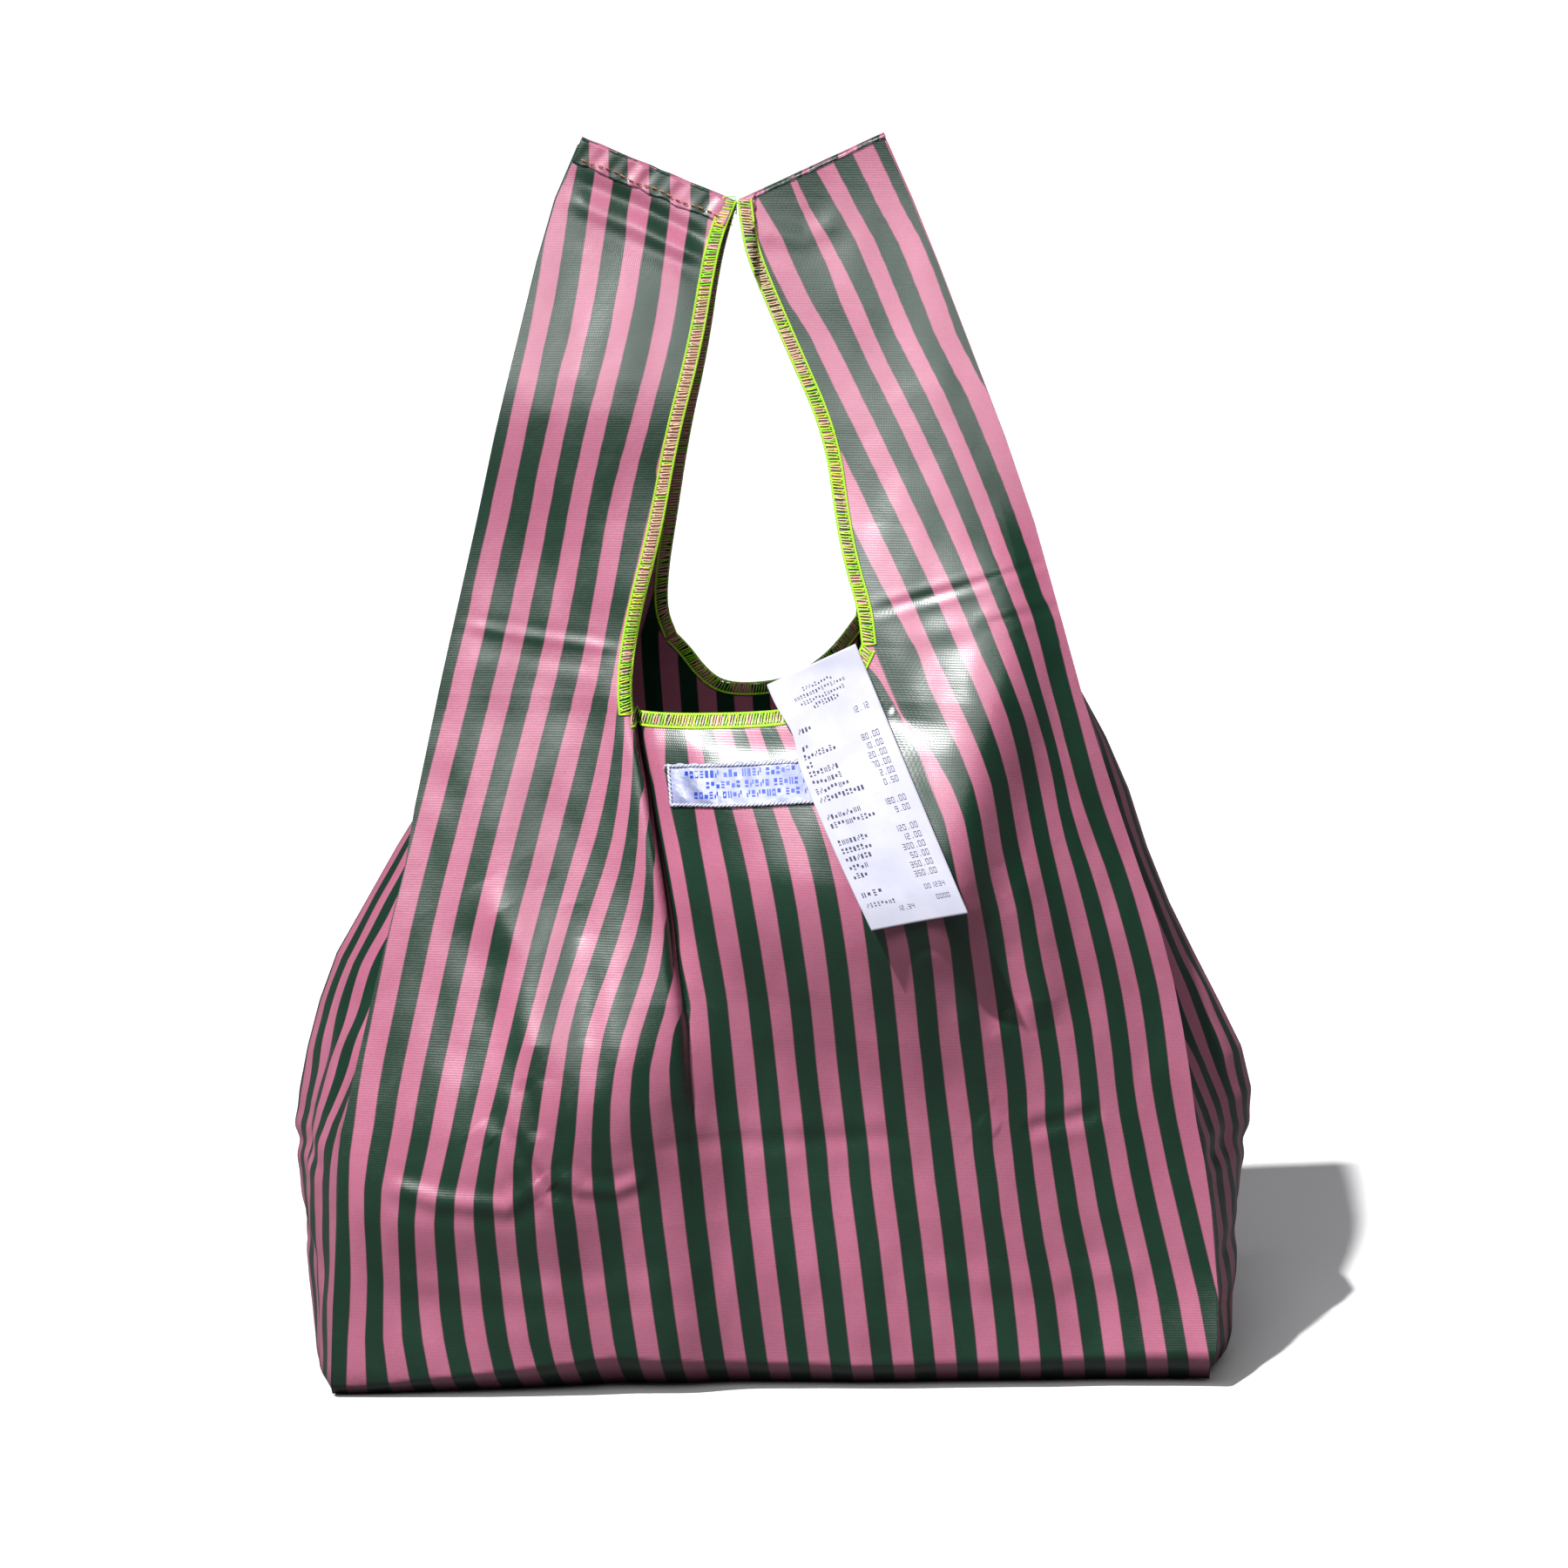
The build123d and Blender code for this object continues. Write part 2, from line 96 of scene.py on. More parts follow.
# One row per stripe edge, left to right across the front, split by semicolons. Each row is
# the height of its foot, then the edge's x at 15 mm, 30 mm, 45 mm and so on above the foot.
# Rows 0, 2, 4 ... start a pink stripe and the others end it.
STRIPE_STEP = 15.0
STRIPE_ROWS = """
0 -206.9 -206.2 -205 -204.2 -204.1 -204.3 -204.3 -203.9 -201.8 -200.1 -197.7 -194.7 -191.8
-188.8 -185.7 -182.2 -178.6 -174.8 -171 -167.3 -163.5 -159.8 -156.2 -152.7 -149.2 -146.2 -143
-139.5 -136.1 -132.7 -129.4 -126.1 -122.9 -119.6 -116.8 -114.4 -112.3 -108.5 -104;
0 -197.6 -197.9 -196.9 -196.2 -196.4 -196.9 -196.8 -194.9 -192.1 -190.3 -187.8 -184.7 -181.7
-178.7 -175.6 -172.2 -168.5 -164.7 -160.8 -157.1 -153.3 -149.8 -146.1 -142.7 -139.4 -136.4
-133.1 -129.7 -126.6 -123.4 -120.3 -117 -113.9 -110.7 -107.6 -105.1 -102.8 -101 -98;
0 -187.4 -189.1 -188.8 -188.3 -188.7 -189 -188.3 -185.5 -182.7 -180.5 -177.7 -174.5 -171.4
-168.4 -165.3 -161.9 -158.2 -154.3 -150.7 -146.8 -143.1 -139.5 -135.9 -132.4 -129.1 -126
-122.8 -119.7 -116.9 -113.9 -110.3 -107.1 -103.8 -99.6 -97.2 -94.8 -92.7 -90.8 -88.5;
0 -177.2 -179.7 -180.3 -180.4 -180.6 -180.5 -179.1 -176.1 -173.1 -170.7 -167.8 -164.6 -161.4
-158.3 -155.1 -151.8 -148.1 -144.5 -140.8 -136.9 -133.2 -129.6 -125.9 -122.5 -119.4 -116.4
-113.3 -110.5 -107.5 -104.6 -101.3 -98 -94.6 -91.3 -88 -85.7 -83.5 -81.2 -78.8;
0 -167.3 -170 -171.5 -172 -172.4 -172.4 -170.6 -166.9 -163.9 -161.2 -158.2 -155 -152 -148.7
-145.6 -142.2 -138.5 -134.7 -131 -127.2 -123.4 -119.7 -116.1 -112.5 -109.6 -106.8 -103.9
-101.2 -98.3 -95 -91.6 -87.8 -83.8 -80.3 -77.8 -75 -72.9 -72 -68.9;
0 -156.6 -159.5 -161.5 -161.9 -162.6 -162.9 -161.1 -157.6 -154.2 -151.2 -148.3 -145.2 -141.9
-138.6 -135.6 -132.1 -128.3 -124.6 -120.9 -117 -113.4 -109.6 -106 -102.8 -99.7 -96.9 -94.3
-91.7 -88.8 -85.5 -82 -78.5 -75 -71.4 -68.2 -65.9 -63.4 -61.5 -58.6;
0 -146.1 -149.1 -150.9 -151.9 -152.8 -153.3 -152.3 -148.8 -145.5 -142.2 -138.7 -135.3 -132
-128.7 -125.4 -121.8 -117.7 -114.1 -110.5 -106.7 -102.9 -99 -95.5 -92.1 -89.5 -86.9 -84.4
-81.9 -78.6 -74.5 -70.4 -66.4 -62.4 -59.2 -56.7 -54.7 -53 -51.3 -49.3;
0 -135.5 -138.5 -140.7 -141.7 -142.7 -143.7 -143.2 -140.5 -137.7 -133.7 -130 -126.4 -123
-119.4 -115.8 -112 -107.9 -104.2 -100.5 -96.6 -93 -89.3 -85.7 -83 -80.4 -77.5 -74.9 -72.2
-69.1 -65.6 -61.4 -57.7 -53.7 -50.2 -47.6 -45.7 -43.6 -41.3;
0 -125.1 -128.4 -130.4 -131.6 -132.8 -133.7 -134.2 -132.1 -129.6 -126.1 -123.4 -119 -115
-111.2 -107.4 -103.2 -99 -94.7 -90.7 -87 -83.8 -81 -78.3 -76.2 -72.8 -69.2 -65.6 -62.1 -58.4;
0 -114.6 -118.3 -120.3 -122 -123.3 -124.1 -124.7 -124.3 -122.4 -119.9 -117 -113.1 -108.9
-104.6 -100.4 -96.1 -91.1 -86.2 -82.5 -79.6 -77.5 -76.3 -75.6;
0 -105.3 -108.4 -110.5 -112.1 -113.6 -114.2 -114.8 -115.6 -113 -111 -108.7 -105.8 -102.1
-97.3 -92.5 -87.7 -82.5 -78.3 -75.7 -73.8 -72.9;
0 -95.9 -98.6 -100.6 -102.4 -103.9 -105.2 -106.5 -106.4 -104.2 -102 -100.1 -98.1 -94.5 -89.4
-84.4 -79.5 -74.6 -71.6 -69.6 -68.6 -68.3;
0 -85.9 -88.4 -90.3 -92.1 -93.6 -94.8 -96.7 -96.3 -94.6 -93.4 -92.3 -90.1 -85.5 -79.8 -74.8
-70.5 -67.3 -65.6 -65.1;
0 -75 -77.8 -79.7 -81.6 -83.1 -84.7 -86.6 -87.3 -86.9 -85.9 -84.3 -81.7 -77.4 -72.1 -66.6
-63.1 -61.6 -61.9;
15 -67.2 -69.3 -71 -72.7 -74.3 -76 -77.5 -78.3 -77.9 -76 -72.7 -67.6 -62.5 -59.1 -57.8 -58.2;
0 -54.6 -56.7 -58.8 -60.6 -62.5 -64.2 -65.7 -67.3 -68.6 -68.8 -67.6 -64.4 -59.6 -54.9 -52.9
-53.6 -55.6;
0 -44.6 -46.6 -48.6 -50.3 -52.1 -53.9 -55.3 -56.9 -58.5 -59.7 -59.5 -56 -51.3;
0 -34 -36.2 -38 -39.9 -41.8 -43.4 -45 -46.5 -48 -49.5 -50.3 -48.6 -44.3;
0 -24.1 -26.2 -28.2 -29.9 -31.6 -33.4 -34.8 -36.3 -37.9 -39.2 -40.5 -41.2 -40.1 -44.2 -47
-49.5 -52.4 -55.7 -58.3 -60.1 -63;
0 -13.7 -15.8 -17.6 -19.5 -21.3 -23 -24.5 -25.9 -27.6 -29.1 -30.4 -31.5 -33 -35.8 -38.4 -40.8
-43.5 -46.4 -50.3 -52.8 -52.8;
0 -3.6 -5.6 -7.4 -9.2 -10.9 -12.7 -14.1 -15.5 -17.2 -18.8 -20.1 -21.6 -23 -25.4 -28 -30.4
-33.1 -36 -38.3 -40.3 -42.4 -44.4;
0 6.4 4.5 2.8 0.9 -0.9 -2.6 -4.1 -5.5 -7.1 -8.6 -10 -11.6 -13.1 -15.1 -17.3 -19.8 -22.3 -25.7
-29 -32.2 -35.3 -38.4;
0 16.4 14.6 12.8 11.1 9.4 7.5 6.2 4.8 3.1 1.7 0.1 -1.4 -3.1 -5.2 -7.3 -9.8 -12.4 -15.9 -19.9
-23.9 -27.9 -32;
0 26.8 24.9 23.2 21.3 19.5 17.6 16.1 14.7 13.2 11.5 9.8 8.5 7 5.1 2.9 0.7 -2 -5.4 -9.9 -14.4
-18.9 -23.3;
0 36.7 34.9 33.2 31.5 29.7 27.7 26.1 25 23.1 21.2 19.6 18.3 16.8 14.9 12.8 10.7 8 4.7 0 -5.7
-11.6 -17.4;
0 47.1 45.4 43.6 41.8 39.9 37.9 36 34.9 33.1 31.4 29.7 28.3 26.8 25.2 23.3 21 18.4 14.6 7.6
1.6 -4.2 -9.9;
0 57.1 55.4 53.7 52 50.3 48.2 46.3 45.1 43.2 41.4 39.8 38.3 36.7 35.1 33.1 30.8 28.1 24.4 19.6
12.3 4.7 -2.8;
0 67.4 65.7 64.1 62.1 60.4 58.4 56.4 54.9 53.1 51.5 49.9 48.4 46.7 45 43.2 41 38.3 34.2 27.7
20 12.6 5.1;
0 77.7 76.1 74.4 72.6 70.9 68.9 67 65.3 63.4 61.8 60.1 58.6 56.9 55.2 53.2 49.9 45.8 41.6 35.7
28.1 20.5 12.9;
0 88.2 86.7 84.8 83 81.3 79.4 77.2 75.5 73.7 71.9 70.3 68.4 66.9 65.2 63.1 59.7 55.5 51.2 44.9
36.7 28.5 20.3;
0 98.4 97 95.1 93.4 91.6 89.8 87.7 85.8 83.8 81.8 80 78.2 76.7 75 73.2 70.8 65.8 60.8 54 45.6
37.3 29;
0 108.6 107.2 105.5 103.5 101.6 99.4 97.6 95.5 94.2 91.9 89.9 87.7 86 84.5 82.7 78.9 74.3 69.7
63.1 54.8 46.4 38.1;
0 119 117.5 115.8 113.9 111.6 109.1 107.4 105.1 104 102.2 100.3 98.6 96.6 94.6 92.3 90.8 86.1
83.1 79.8 73.5 67.9 60.3 51.2;
0 129 127.6 125.8 123.2 120.4 118.2 116.1 114.4 112.4 111.6 109.8 107.7 105.7 103.3 100.9 97.9
94.9 92.1 89.2 83.4 74.4 60.7 53.8 47.7 41.5;
15 137.9 136 133.3 130.1 127.8 125.5 123.7 121.6 121 119.1 117.1 114.1 111.3 109 106.3 102.3
99.5 97.1 93.5 87.5 80.5 73 68.5 59.8 51.6 43.8 36.2;
15 148.2 146.1 143.4 140.1 137.3 134.9 132.6 130.1 129.9 128.2 125.7 123 119.7 117.2 114.8 111
107.5 105.2 102.5 97.2 90.6 83.2 76 69.5 62.7 55.7 48.4 41.3 33.8 26.2 18.8;
15 158.5 156.4 153.6 150.1 146.9 144.6 142 139.6 139 137.2 134.7 131.9 128.3 125.4 122.9 119.4
115.9 113.2 110.7 106.5 101.2 94.9 88 81.7 74.9 67.8 60.6 53.1 45.7 38.3 30.8 23.4;
15 168.4 166.4 163.4 160 156.5 153.9 151.2 148.6 147.4 145.7 143.5 140.4 137.3 133.9 130.7
127.2 123.8 120.8 118 114.8 110.7 105 97.9 91.6 85.1 78 71 63.8 56.6 49.4 41.9 34.6 26.8 17.7
10.3 3.8 -5.2;
15 178.4 176.2 173.3 169.8 166.2 163.2 160.6 157.7 156.3 154.4 152.4 149.4 146.2 142.7 139.1
135.4 131.8 128.8 125.8 122.6 118.7 113 106.9 101 94.5 88.2 81.6 74.7 67.8 60.7 53.3 45.4 38.5
31.8 26.5 19.9;
15 188.6 186.3 183.1 179.5 175.9 172.6 169.9 166.9 164.7 163.1 161 158.6 155.5 151.8 148 143.8
139.2 135.7 133 129.4 124.8 119.8 114.7 109 102.8 96.7 90.7 84.3 77.5 70.4 62.8 54.9 48.1 41.8
34.4 26.5 16.6 9.8;
15 198.7 196.3 192.9 189.2 185.6 182.3 179.4 176.2 173.8 172.2 170.1 167.5 164.3 160.5 156.4
151.7 146.4 141.9 138.6 134.9 130.6 126.2 121.8 117 111 105 99.3 93.4 87.1 80.5 73.5 65.8 58
51.6 45.5 39.1 30.8 21.9;
15 208.7 206.2 202.5 198.8 195.2 191.5 188.3 185.1 182.5 180.8 178.8 176.2 172.6 168.5 164.2
159.3 153.7 148.3 143.7 139.6 135.6 131.4 127.7 123.7 118 112.6 107.2 101.7 95.5 89.1 82.6 75
67.5 61.1 54.9 48.6 40 32.3
"""


def read_stripe(row):
    """Heights and x of a stripe edge; its x at the foot carries on the line above it."""
    foot, *xs = map(float, row.split())
    xs = [2 * xs[0] - xs[1]] + xs
    return foot + STRIPE_STEP * np.arange(len(xs)), np.array(xs)


STRIPES = [read_stripe(row) for row in STRIPE_ROWS.split(";")]

# pleat at the left end of the neckline: height, cloth u where it dives in, x of the fold,
# cloth u where it comes out, depth, roll depth
PLEAT = number_table(6, """
120 184 -40 186 0.5 0.5
150 184 -41 187 1.5 2
183 184 -43 188 4 3.5
195 181 -44.5 191 6 4.5
211 170 -48.3 190.5 10 5.5
232 163 -50.6 189.5 14 6.5
253 157 -54.4 189.5 17 7.5
275 148 -58.7 189.5 21 8.5
296 129 -62.6 189 27 9
313 123 -66.3 188 29 9
333 121 -69 187 30 9
""")
PLEAT_TOP = 333.0
# the fold's line carries on up the strap: height, x
PLEAT_LINE = np.vstack([PLEAT[:, [0, 2]], [(354, -69.4), (378, -64.9), (399, -59.6), (420, -54.6)]])
# the stripe edges that vanish into the pleat, and the height of each one's end
STRIPE_END = {10: 326, 11: 326, 12: 293, 13: 275, 14: 258, 15: 254, 16: 194, 17: 194}
FIRST_RIGHT_OF_PLEAT = 18

# outlines as x, height: inner edges of the straps, then the necklines
LEFT_FRONT_EDGE = number_table(2, """-69 329 -69.8 338.2 -69.4 354 -64.9 378.6 -59.6 399
-54.6 420 -47.2 461 -36.2 503 -29.4 544.7 -25 560.7 -19.6 573.6""")
RIGHT_FRONT_EDGE = number_table(2, """42.2 363 40.6 378.6 34.4 399 30 420 24.6 461 5.6 503
-12.6 544.7 -16 560.7 -17.6 574.2""")
LEFT_BACK_EDGE = number_table(2, """-51.8 353.4 -57 367.3 -55.5 390 -51.5 413 -44.5 457.5
-34 503 -28 544.7 -19.6 573.6""")
RIGHT_BACK_EDGE = number_table(2, """42.3 363 43 378.6 38.5 399 34 420 28 461 9 503
-9.6 544.7 -17.6 574.2""")
FRONT_NECK = number_table(2, """-69 329 -55 328.3 -37.2 328.5 -12 329.6 6.4 331.3
25.1 339.2 35.5 349 42.2 363""")
BACK_NECK = number_table(2, """-51.8 353.4 -45.1 346.4 -37 335 -27.4 327.2 -10 326.2
6.6 329 20 336.5 31.2 347 42.3 363""")

# edges: inner outlines, front and back; top: ends of the top edge, left then right;
# blend_start and blend_end: two points on the strap's middle line, low then high, in metres
STRAPS = {
    "left": SimpleNamespace(
        sign=-1.0, fold=LEFT, mid=LEFT_MID, stripes=range(0, 10),
        edges=(LEFT_FRONT_EDGE, LEFT_BACK_EDGE),
        top=((-94.3, 604.5), (-19.6, 573.6)), outer=(-94.3, 604.5), inner=(-19.6, 573.6),
        blend_start=(-0.116, 0, 0.3545), blend_end=(-0.116, 0, 0.470)),
    "right": SimpleNamespace(
        sign=1.0, fold=RIGHT, mid=RIGHT_MID, stripes=range(33, 42),
        edges=(RIGHT_FRONT_EDGE, RIGHT_BACK_EDGE),
        top=((-17.6, 574.2), (53.2, 606.6)), outer=(53.2, 606.6), inner=(-17.6, 574.2),
        blend_start=(0.091, 0, 0.3640), blend_end=(0.091, 0, 0.480)),
}


# ---------------------------------------------------------------- small maths
def station(z, column):
    return np.interp(z, STATIONS[:, 0], STATIONS[:, column])


def smoothstep(t):
    return t * t * (3 - 2 * t)


def relax(values, times):
    """Smooth an array in place along its first axis; the ends stay put."""
    for _ in range(times):
        values[1:-1] = 0.25 * values[:-2] + 0.5 * values[1:-1] + 0.25 * values[2:]
    return values


def neck_z(x, neck):
    return np.interp(x, neck[:, 0], neck[:, 1])


def settle_top(x_at, neck, start):
    """Height of the neckline over each column, where the columns lean with height."""
    top = start
    for _ in range(25):
        top = 0.5 * top + 0.5 * neck_z(x_at(top), neck)
    return top


def smooth_line(pts, step):
    """Evenly spaced points along a polyline with its corners cut three times."""
    pts = np.asarray(pts, float)
    for _ in range(3):
        cut = [pts[0]]
        for a, b in zip(pts, pts[1:]):
            cut += [0.75 * a + 0.25 * b, 0.25 * a + 0.75 * b]
        cut.append(pts[-1])
        pts = np.array(cut)
    run = np.r_[0, np.cumsum(np.hypot(*np.diff(pts, axis=0).T))]
    count = max(2, int(round(run[-1] / step)))
    at = np.linspace(0, run[-1], count + 1)
    return np.c_[np.interp(at, run, pts[:, 0]), np.interp(at, run, pts[:, 1])]


def nearest_on_line(x, z, pts):
    """Distance to a polyline in (x, z), and the nearest point's share of its length."""
    best = np.full(np.broadcast(x, z).shape, 1e9)
    along = np.zeros_like(best)
    total = sum(math.dist(p, q) for p, q in zip(pts, pts[1:]))
    run = 0.0
    for (x0, z0), (x1, z1) in zip(pts, pts[1:]):
        length = math.dist((x0, z0), (x1, z1))
        tx, tz = (x1 - x0) / length, (z1 - z0) / length
        t = np.clip((x - x0) * tx + (z - z0) * tz, 0, length)
        distance = np.hypot(x - x0 - t * tx, z - z0 - t * tz)
        closer = distance < best
        best = np.where(closer, distance, best)
        along = np.where(closer, (run + t) / total, along)
        run += length
    return best, along


# ---------------------------------------------------------------- stripes on the front
def stripe_u(k):
    """Cloth u of stripe edge k."""
    return PERIOD * (k // 2) + GREEN if k % 2 == 0 else PERIOD * ((k + 1) // 2)


def stripe_x(k, z):
    """x of stripe edge k at height z, or None where it is hidden."""
    heights, xs = STRIPES[k]
    end = heights[-1]
    if z < heights[0]:
        return xs[0] + (xs[1] - xs[0]) / STRIPE_STEP * (z - heights[0])
    # edges that reach the strap tops carry on past their last point
    if z > end + STRIPE_STEP / 2 and not (z > 560 and end > 520):
        return None
    if z > end:
        return xs[-1] + (xs[-1] - xs[-2]) / STRIPE_STEP * (z - end)
    return float(np.interp(z, heights, xs))


def front_knots(z_true):
    """Cloth u and x of the knots across the front at one height, fold to fold."""
    z = min(z_true, PLEAT_TOP)
    u_in, x_fold, u_out = [float(np.interp(z, PLEAT[:, 0], PLEAT[:, c])) for c in (1, 2, 3)]
    folded = z > 186
    knots = []
    for k in range(len(STRIPES)):
        x = stripe_x(k, z if k < 28 else z_true)
        if x is None:
            continue
        u = stripe_u(k)
        if k < FIRST_RIGHT_OF_PLEAT:
            if z > STRIPE_END.get(k, 1e9):
                continue
            if folded and (u > u_in - 1.0 or x > x_fold - 0.8):
                continue
        elif folded and x < x_fold + 3.2:
            continue
        knots.append((u, x))
    slack = 1.03       # cloth per mm of x beyond the outermost stripe edges
    x_left, x_right = float(station(z, LEFT)), float(station(z_true, RIGHT))
    left_u = knots[0][0] - (knots[0][1] - x_left) * slack
    right_u = knots[-1][0] + (x_right - knots[-1][1]) * slack
    if folded:
        knots += [(u_in, x_fold), ((u_in + u_out) / 2, x_fold + 1.1), (u_out, x_fold + 2.6)]
    knots += [(left_u, x_left), (right_u, x_right)]
    knots.sort()
    u, x = np.array(knots).T.copy()
    return u, np.maximum.accumulate(x + 1e-4 * np.arange(len(x)))


def strap_u(x, z, strap):
    """Cloth u on a strap at (x, z) by the nearest visible stripe edges."""
    x, z = np.broadcast_arrays(x, z)
    out = np.zeros(x.shape)
    for level in np.unique(np.round(z / 3.0) * 3.0):
        near = np.abs(z - level) <= 1.5
        found = [(stripe_u(k), stripe_x(k, level)) for k in strap.stripes]
        found = sorted((u, edge_x) for u, edge_x in found if edge_x is not None)
        us, xs = np.array(found).T
        xs = np.maximum.accumulate(xs + 1e-3 * np.arange(len(xs)))
        rate = (us[-1] - us[0]) / (xs[-1] - xs[0])
        us = np.r_[us[0] - 40 * rate, us, us[-1] + 60 * rate]
        xs = np.r_[xs[0] - 40, xs, xs[-1] + 60]
        out[near] = np.interp(x[near], xs, us)
    return out


# ---------------------------------------------------------------- wrinkles
class Waves:
    """Sum of random sine waves in (x, z); stretch draws them out in height."""

    def __init__(self, count, shortest, longest, stretch, seed):
        r = np.random.default_rng(seed)
        length = np.exp(r.uniform(np.log(shortest), np.log(longest), count))
        angle = r.uniform(0, np.pi, count)
        self.kx = 2 * np.pi / length * np.cos(angle)
        self.kz = 2 * np.pi / length * np.sin(angle) / stretch
        self.phase = r.uniform(0, 2 * np.pi, count)
        self.height = (length / longest) / np.sqrt(count) * 1.4

    def __call__(self, x, z):
        return sum(height * np.sin(kx * x + kz * z + phase)
                   for kx, kz, phase, height in zip(self.kx, self.kz, self.phase, self.height))


broad = Waves(count=16, shortest=60, longest=170, stretch=1.5, seed=3)
small = Waves(count=24, shortest=14, longest=46, stretch=1.6, seed=11)


def crease(x, z, pts, height, width):
    """Ridge or dip along a polyline, fading at both ends."""
    best, along = nearest_on_line(x, z, pts)
    taper = np.clip(np.minimum(along, 1 - along) * 6, 0, 1)
    shape = np.exp(-(best / width) ** 2) - 0.35 * np.exp(-((best - 1.8 * width) / width) ** 2)
    return height * shape * taper


def swell(x, z, pts, height, width):
    """Smooth swelling along a polyline."""
    return height * np.exp(-(nearest_on_line(x, z, pts)[0] / width) ** 2) * 0.9


# broad swells and hollows that turn the front to and from the light:
# centre line as (x, height), height of the swell, half width
SWELLS = [
    ([(110, 396), (108, 340), (98, 300), (82, 262), (68, 232)], 7.5, 22.0),
    ([(150, 372), (136, 330), (118, 290), (106, 240), (104, 200)], -3.5, 20.0),
    ([(-150, 345), (-130, 270), (-112, 190), (-108, 150)], 2.5, 22.0),
    ([(-100, 420), (-84, 480), (-66, 545)], 1.6, 18.0),
    ([(20, 470), (2, 520), (-6, 560)], 1.6, 16.0),
    ([(60, 560), (52, 500), (68, 450)], -1.4, 14.0),
]
# creases of the front: line as (x, height), height of the ridge, width.
# Every second one of the first BACK_CREASES is mirrored onto the back.
BACK_CREASES = 16
CREASES = [
    ([(-158, 371), (-115, 364), (-72, 359)], 0.42, 2.6),
    ([(-150, 361), (-118, 355), (-80, 351)], -0.3, 4),
    ([(44, 378), (92, 391), (138, 404)], -0.7, 2.4),
    ([(96, 372), (120, 378), (142, 381)], -0.8, 3.0),
    ([(60, 366), (98, 374), (140, 384)], 0.5, 5.0),
    ([(-104, 587), (-66, 571), (-28, 552)], -2.8, 4.2),
    ([(-106, 576), (-68, 561), (-30, 543)], 1.6, 4.0),
    ([(-102, 560), (-66, 550), (-36, 540)], -0.7, 4.5),
    ([(-10, 560), (14, 556), (34, 566)], 1.0, 5.0),
    ([(52, 300), (74, 262), (88, 226)], -1.6, 6.0),
    ([(-120, 470), (-96, 476), (-62, 470)], 0.15, 5.0),
    ([(40, 470), (72, 484), (100, 486)], 0.15, 5.0),
    ([(-190, 108), (-160, 101), (-128, 99), (-108, 112)], 1.6, 4.5),
    ([(-128, 140), (-120, 124), (-108, 108), (-96, 100)], -1.5, 3.4),
    ([(-104, 118), (-92, 108), (-76, 106), (-60, 112)], 1.1, 3.6),
    ([(-120, 160), (-112, 132)], -1.0, 5.0),
    ([(-142, 138), (-134, 130)], 0.8, 5.0),
    ([(-112, 114), (-106, 108)], 0.8, 5.0),
    ([(118, 130), (140, 134), (160, 138)], -1.1, 4.0),
    ([(98, 136), (108, 130)], 0.6, 5.0),
    ([(-60, 128), (0, 124), (70, 128)], -0.7, 5.0),
    ([(-195, 60), (-120, 54), (-30, 58)], 0.5, 6.0),
    ([(60, 60), (120, 54), (190, 60)], 0.5, 6.0),
    ([(92, 240), (104, 214), (110, 180)], -2.4, 9.0),
    ([(110, 262), (124, 226), (130, 180)], 2.6, 11.0),
    ([(-140, 250), (-120, 215), (-112, 160)], 2.2, 12.0),
    ([(-96, 240), (-88, 200), (-84, 150)], -1.4, 9.0),
]

# how far the front stands out from its plain curve: columns at FORM_X, rows at FORM_Z
FORM_X = np.array([-215, -150, -105, -72, -45, -20, 20, 55, 90, 125, 160, 215], float)
FORM_Z = np.array([0, 25, 60, 95, 125, 155, 190, 225, 260, 290, 312, 330, 365, 400, 440, 480,
                   520, 560, 600], float)
FORM = number_table(12, """
2 2 1 -2 -6 -8 -9 -9 -8 -7 -6 -4
3 3 1 -3 -7 -10 -11 -11 -10 -9 -8 -5
4 4 2 -4 -9 -12 -13 -13 -12 -11 -10 -6
5 8 7 -1 -9 -14 -16 -15 -14 -13 -12 -7
4 8 9 3 -8 -14 -16 -15 -14 -15 -14 -8
3 7 9 7 -4 -11 -13 -12 -13 -16 -15 -8
2 5 7 8 0 -5 -6 -6 -8 -16 -16 -8
1 3 5 7 3 2 2 2 -2 -14 -15 -7
0 1 2 5 6 8 9 8 2 -10 -13 -6
0 0 0 3 7 10 11 10 4 -7 -10 -5
0 -1 -1 1 4 5 6 6 4 -4 -7 -4
0 -2 -2 -1 -2 -2 -2 0 3 -2 -5 -3
0 -1 -1 -1 -1 0 0 0 1 0 -2 -1
0 0 1 1 0 0 0 1 2 0 0 0
0 1 2 2 1 0 0 2 2 1 0 0
0 1 2 2 2 0 2 3 1 0 0 0
0 0 1 1 1 0 2 1 0 0 0 0
0 0 0 0 0 0 0 0 0 0 0 0
0 0 0 0 0 0 0 0 0 0 0 0
""")
# below the straps the middle and right of the form are deepened
FORM[:13, 5:11] *= 1.45
FORM[:13, 8:11] -= 1.5
FORM[:13, 11] *= 1.2


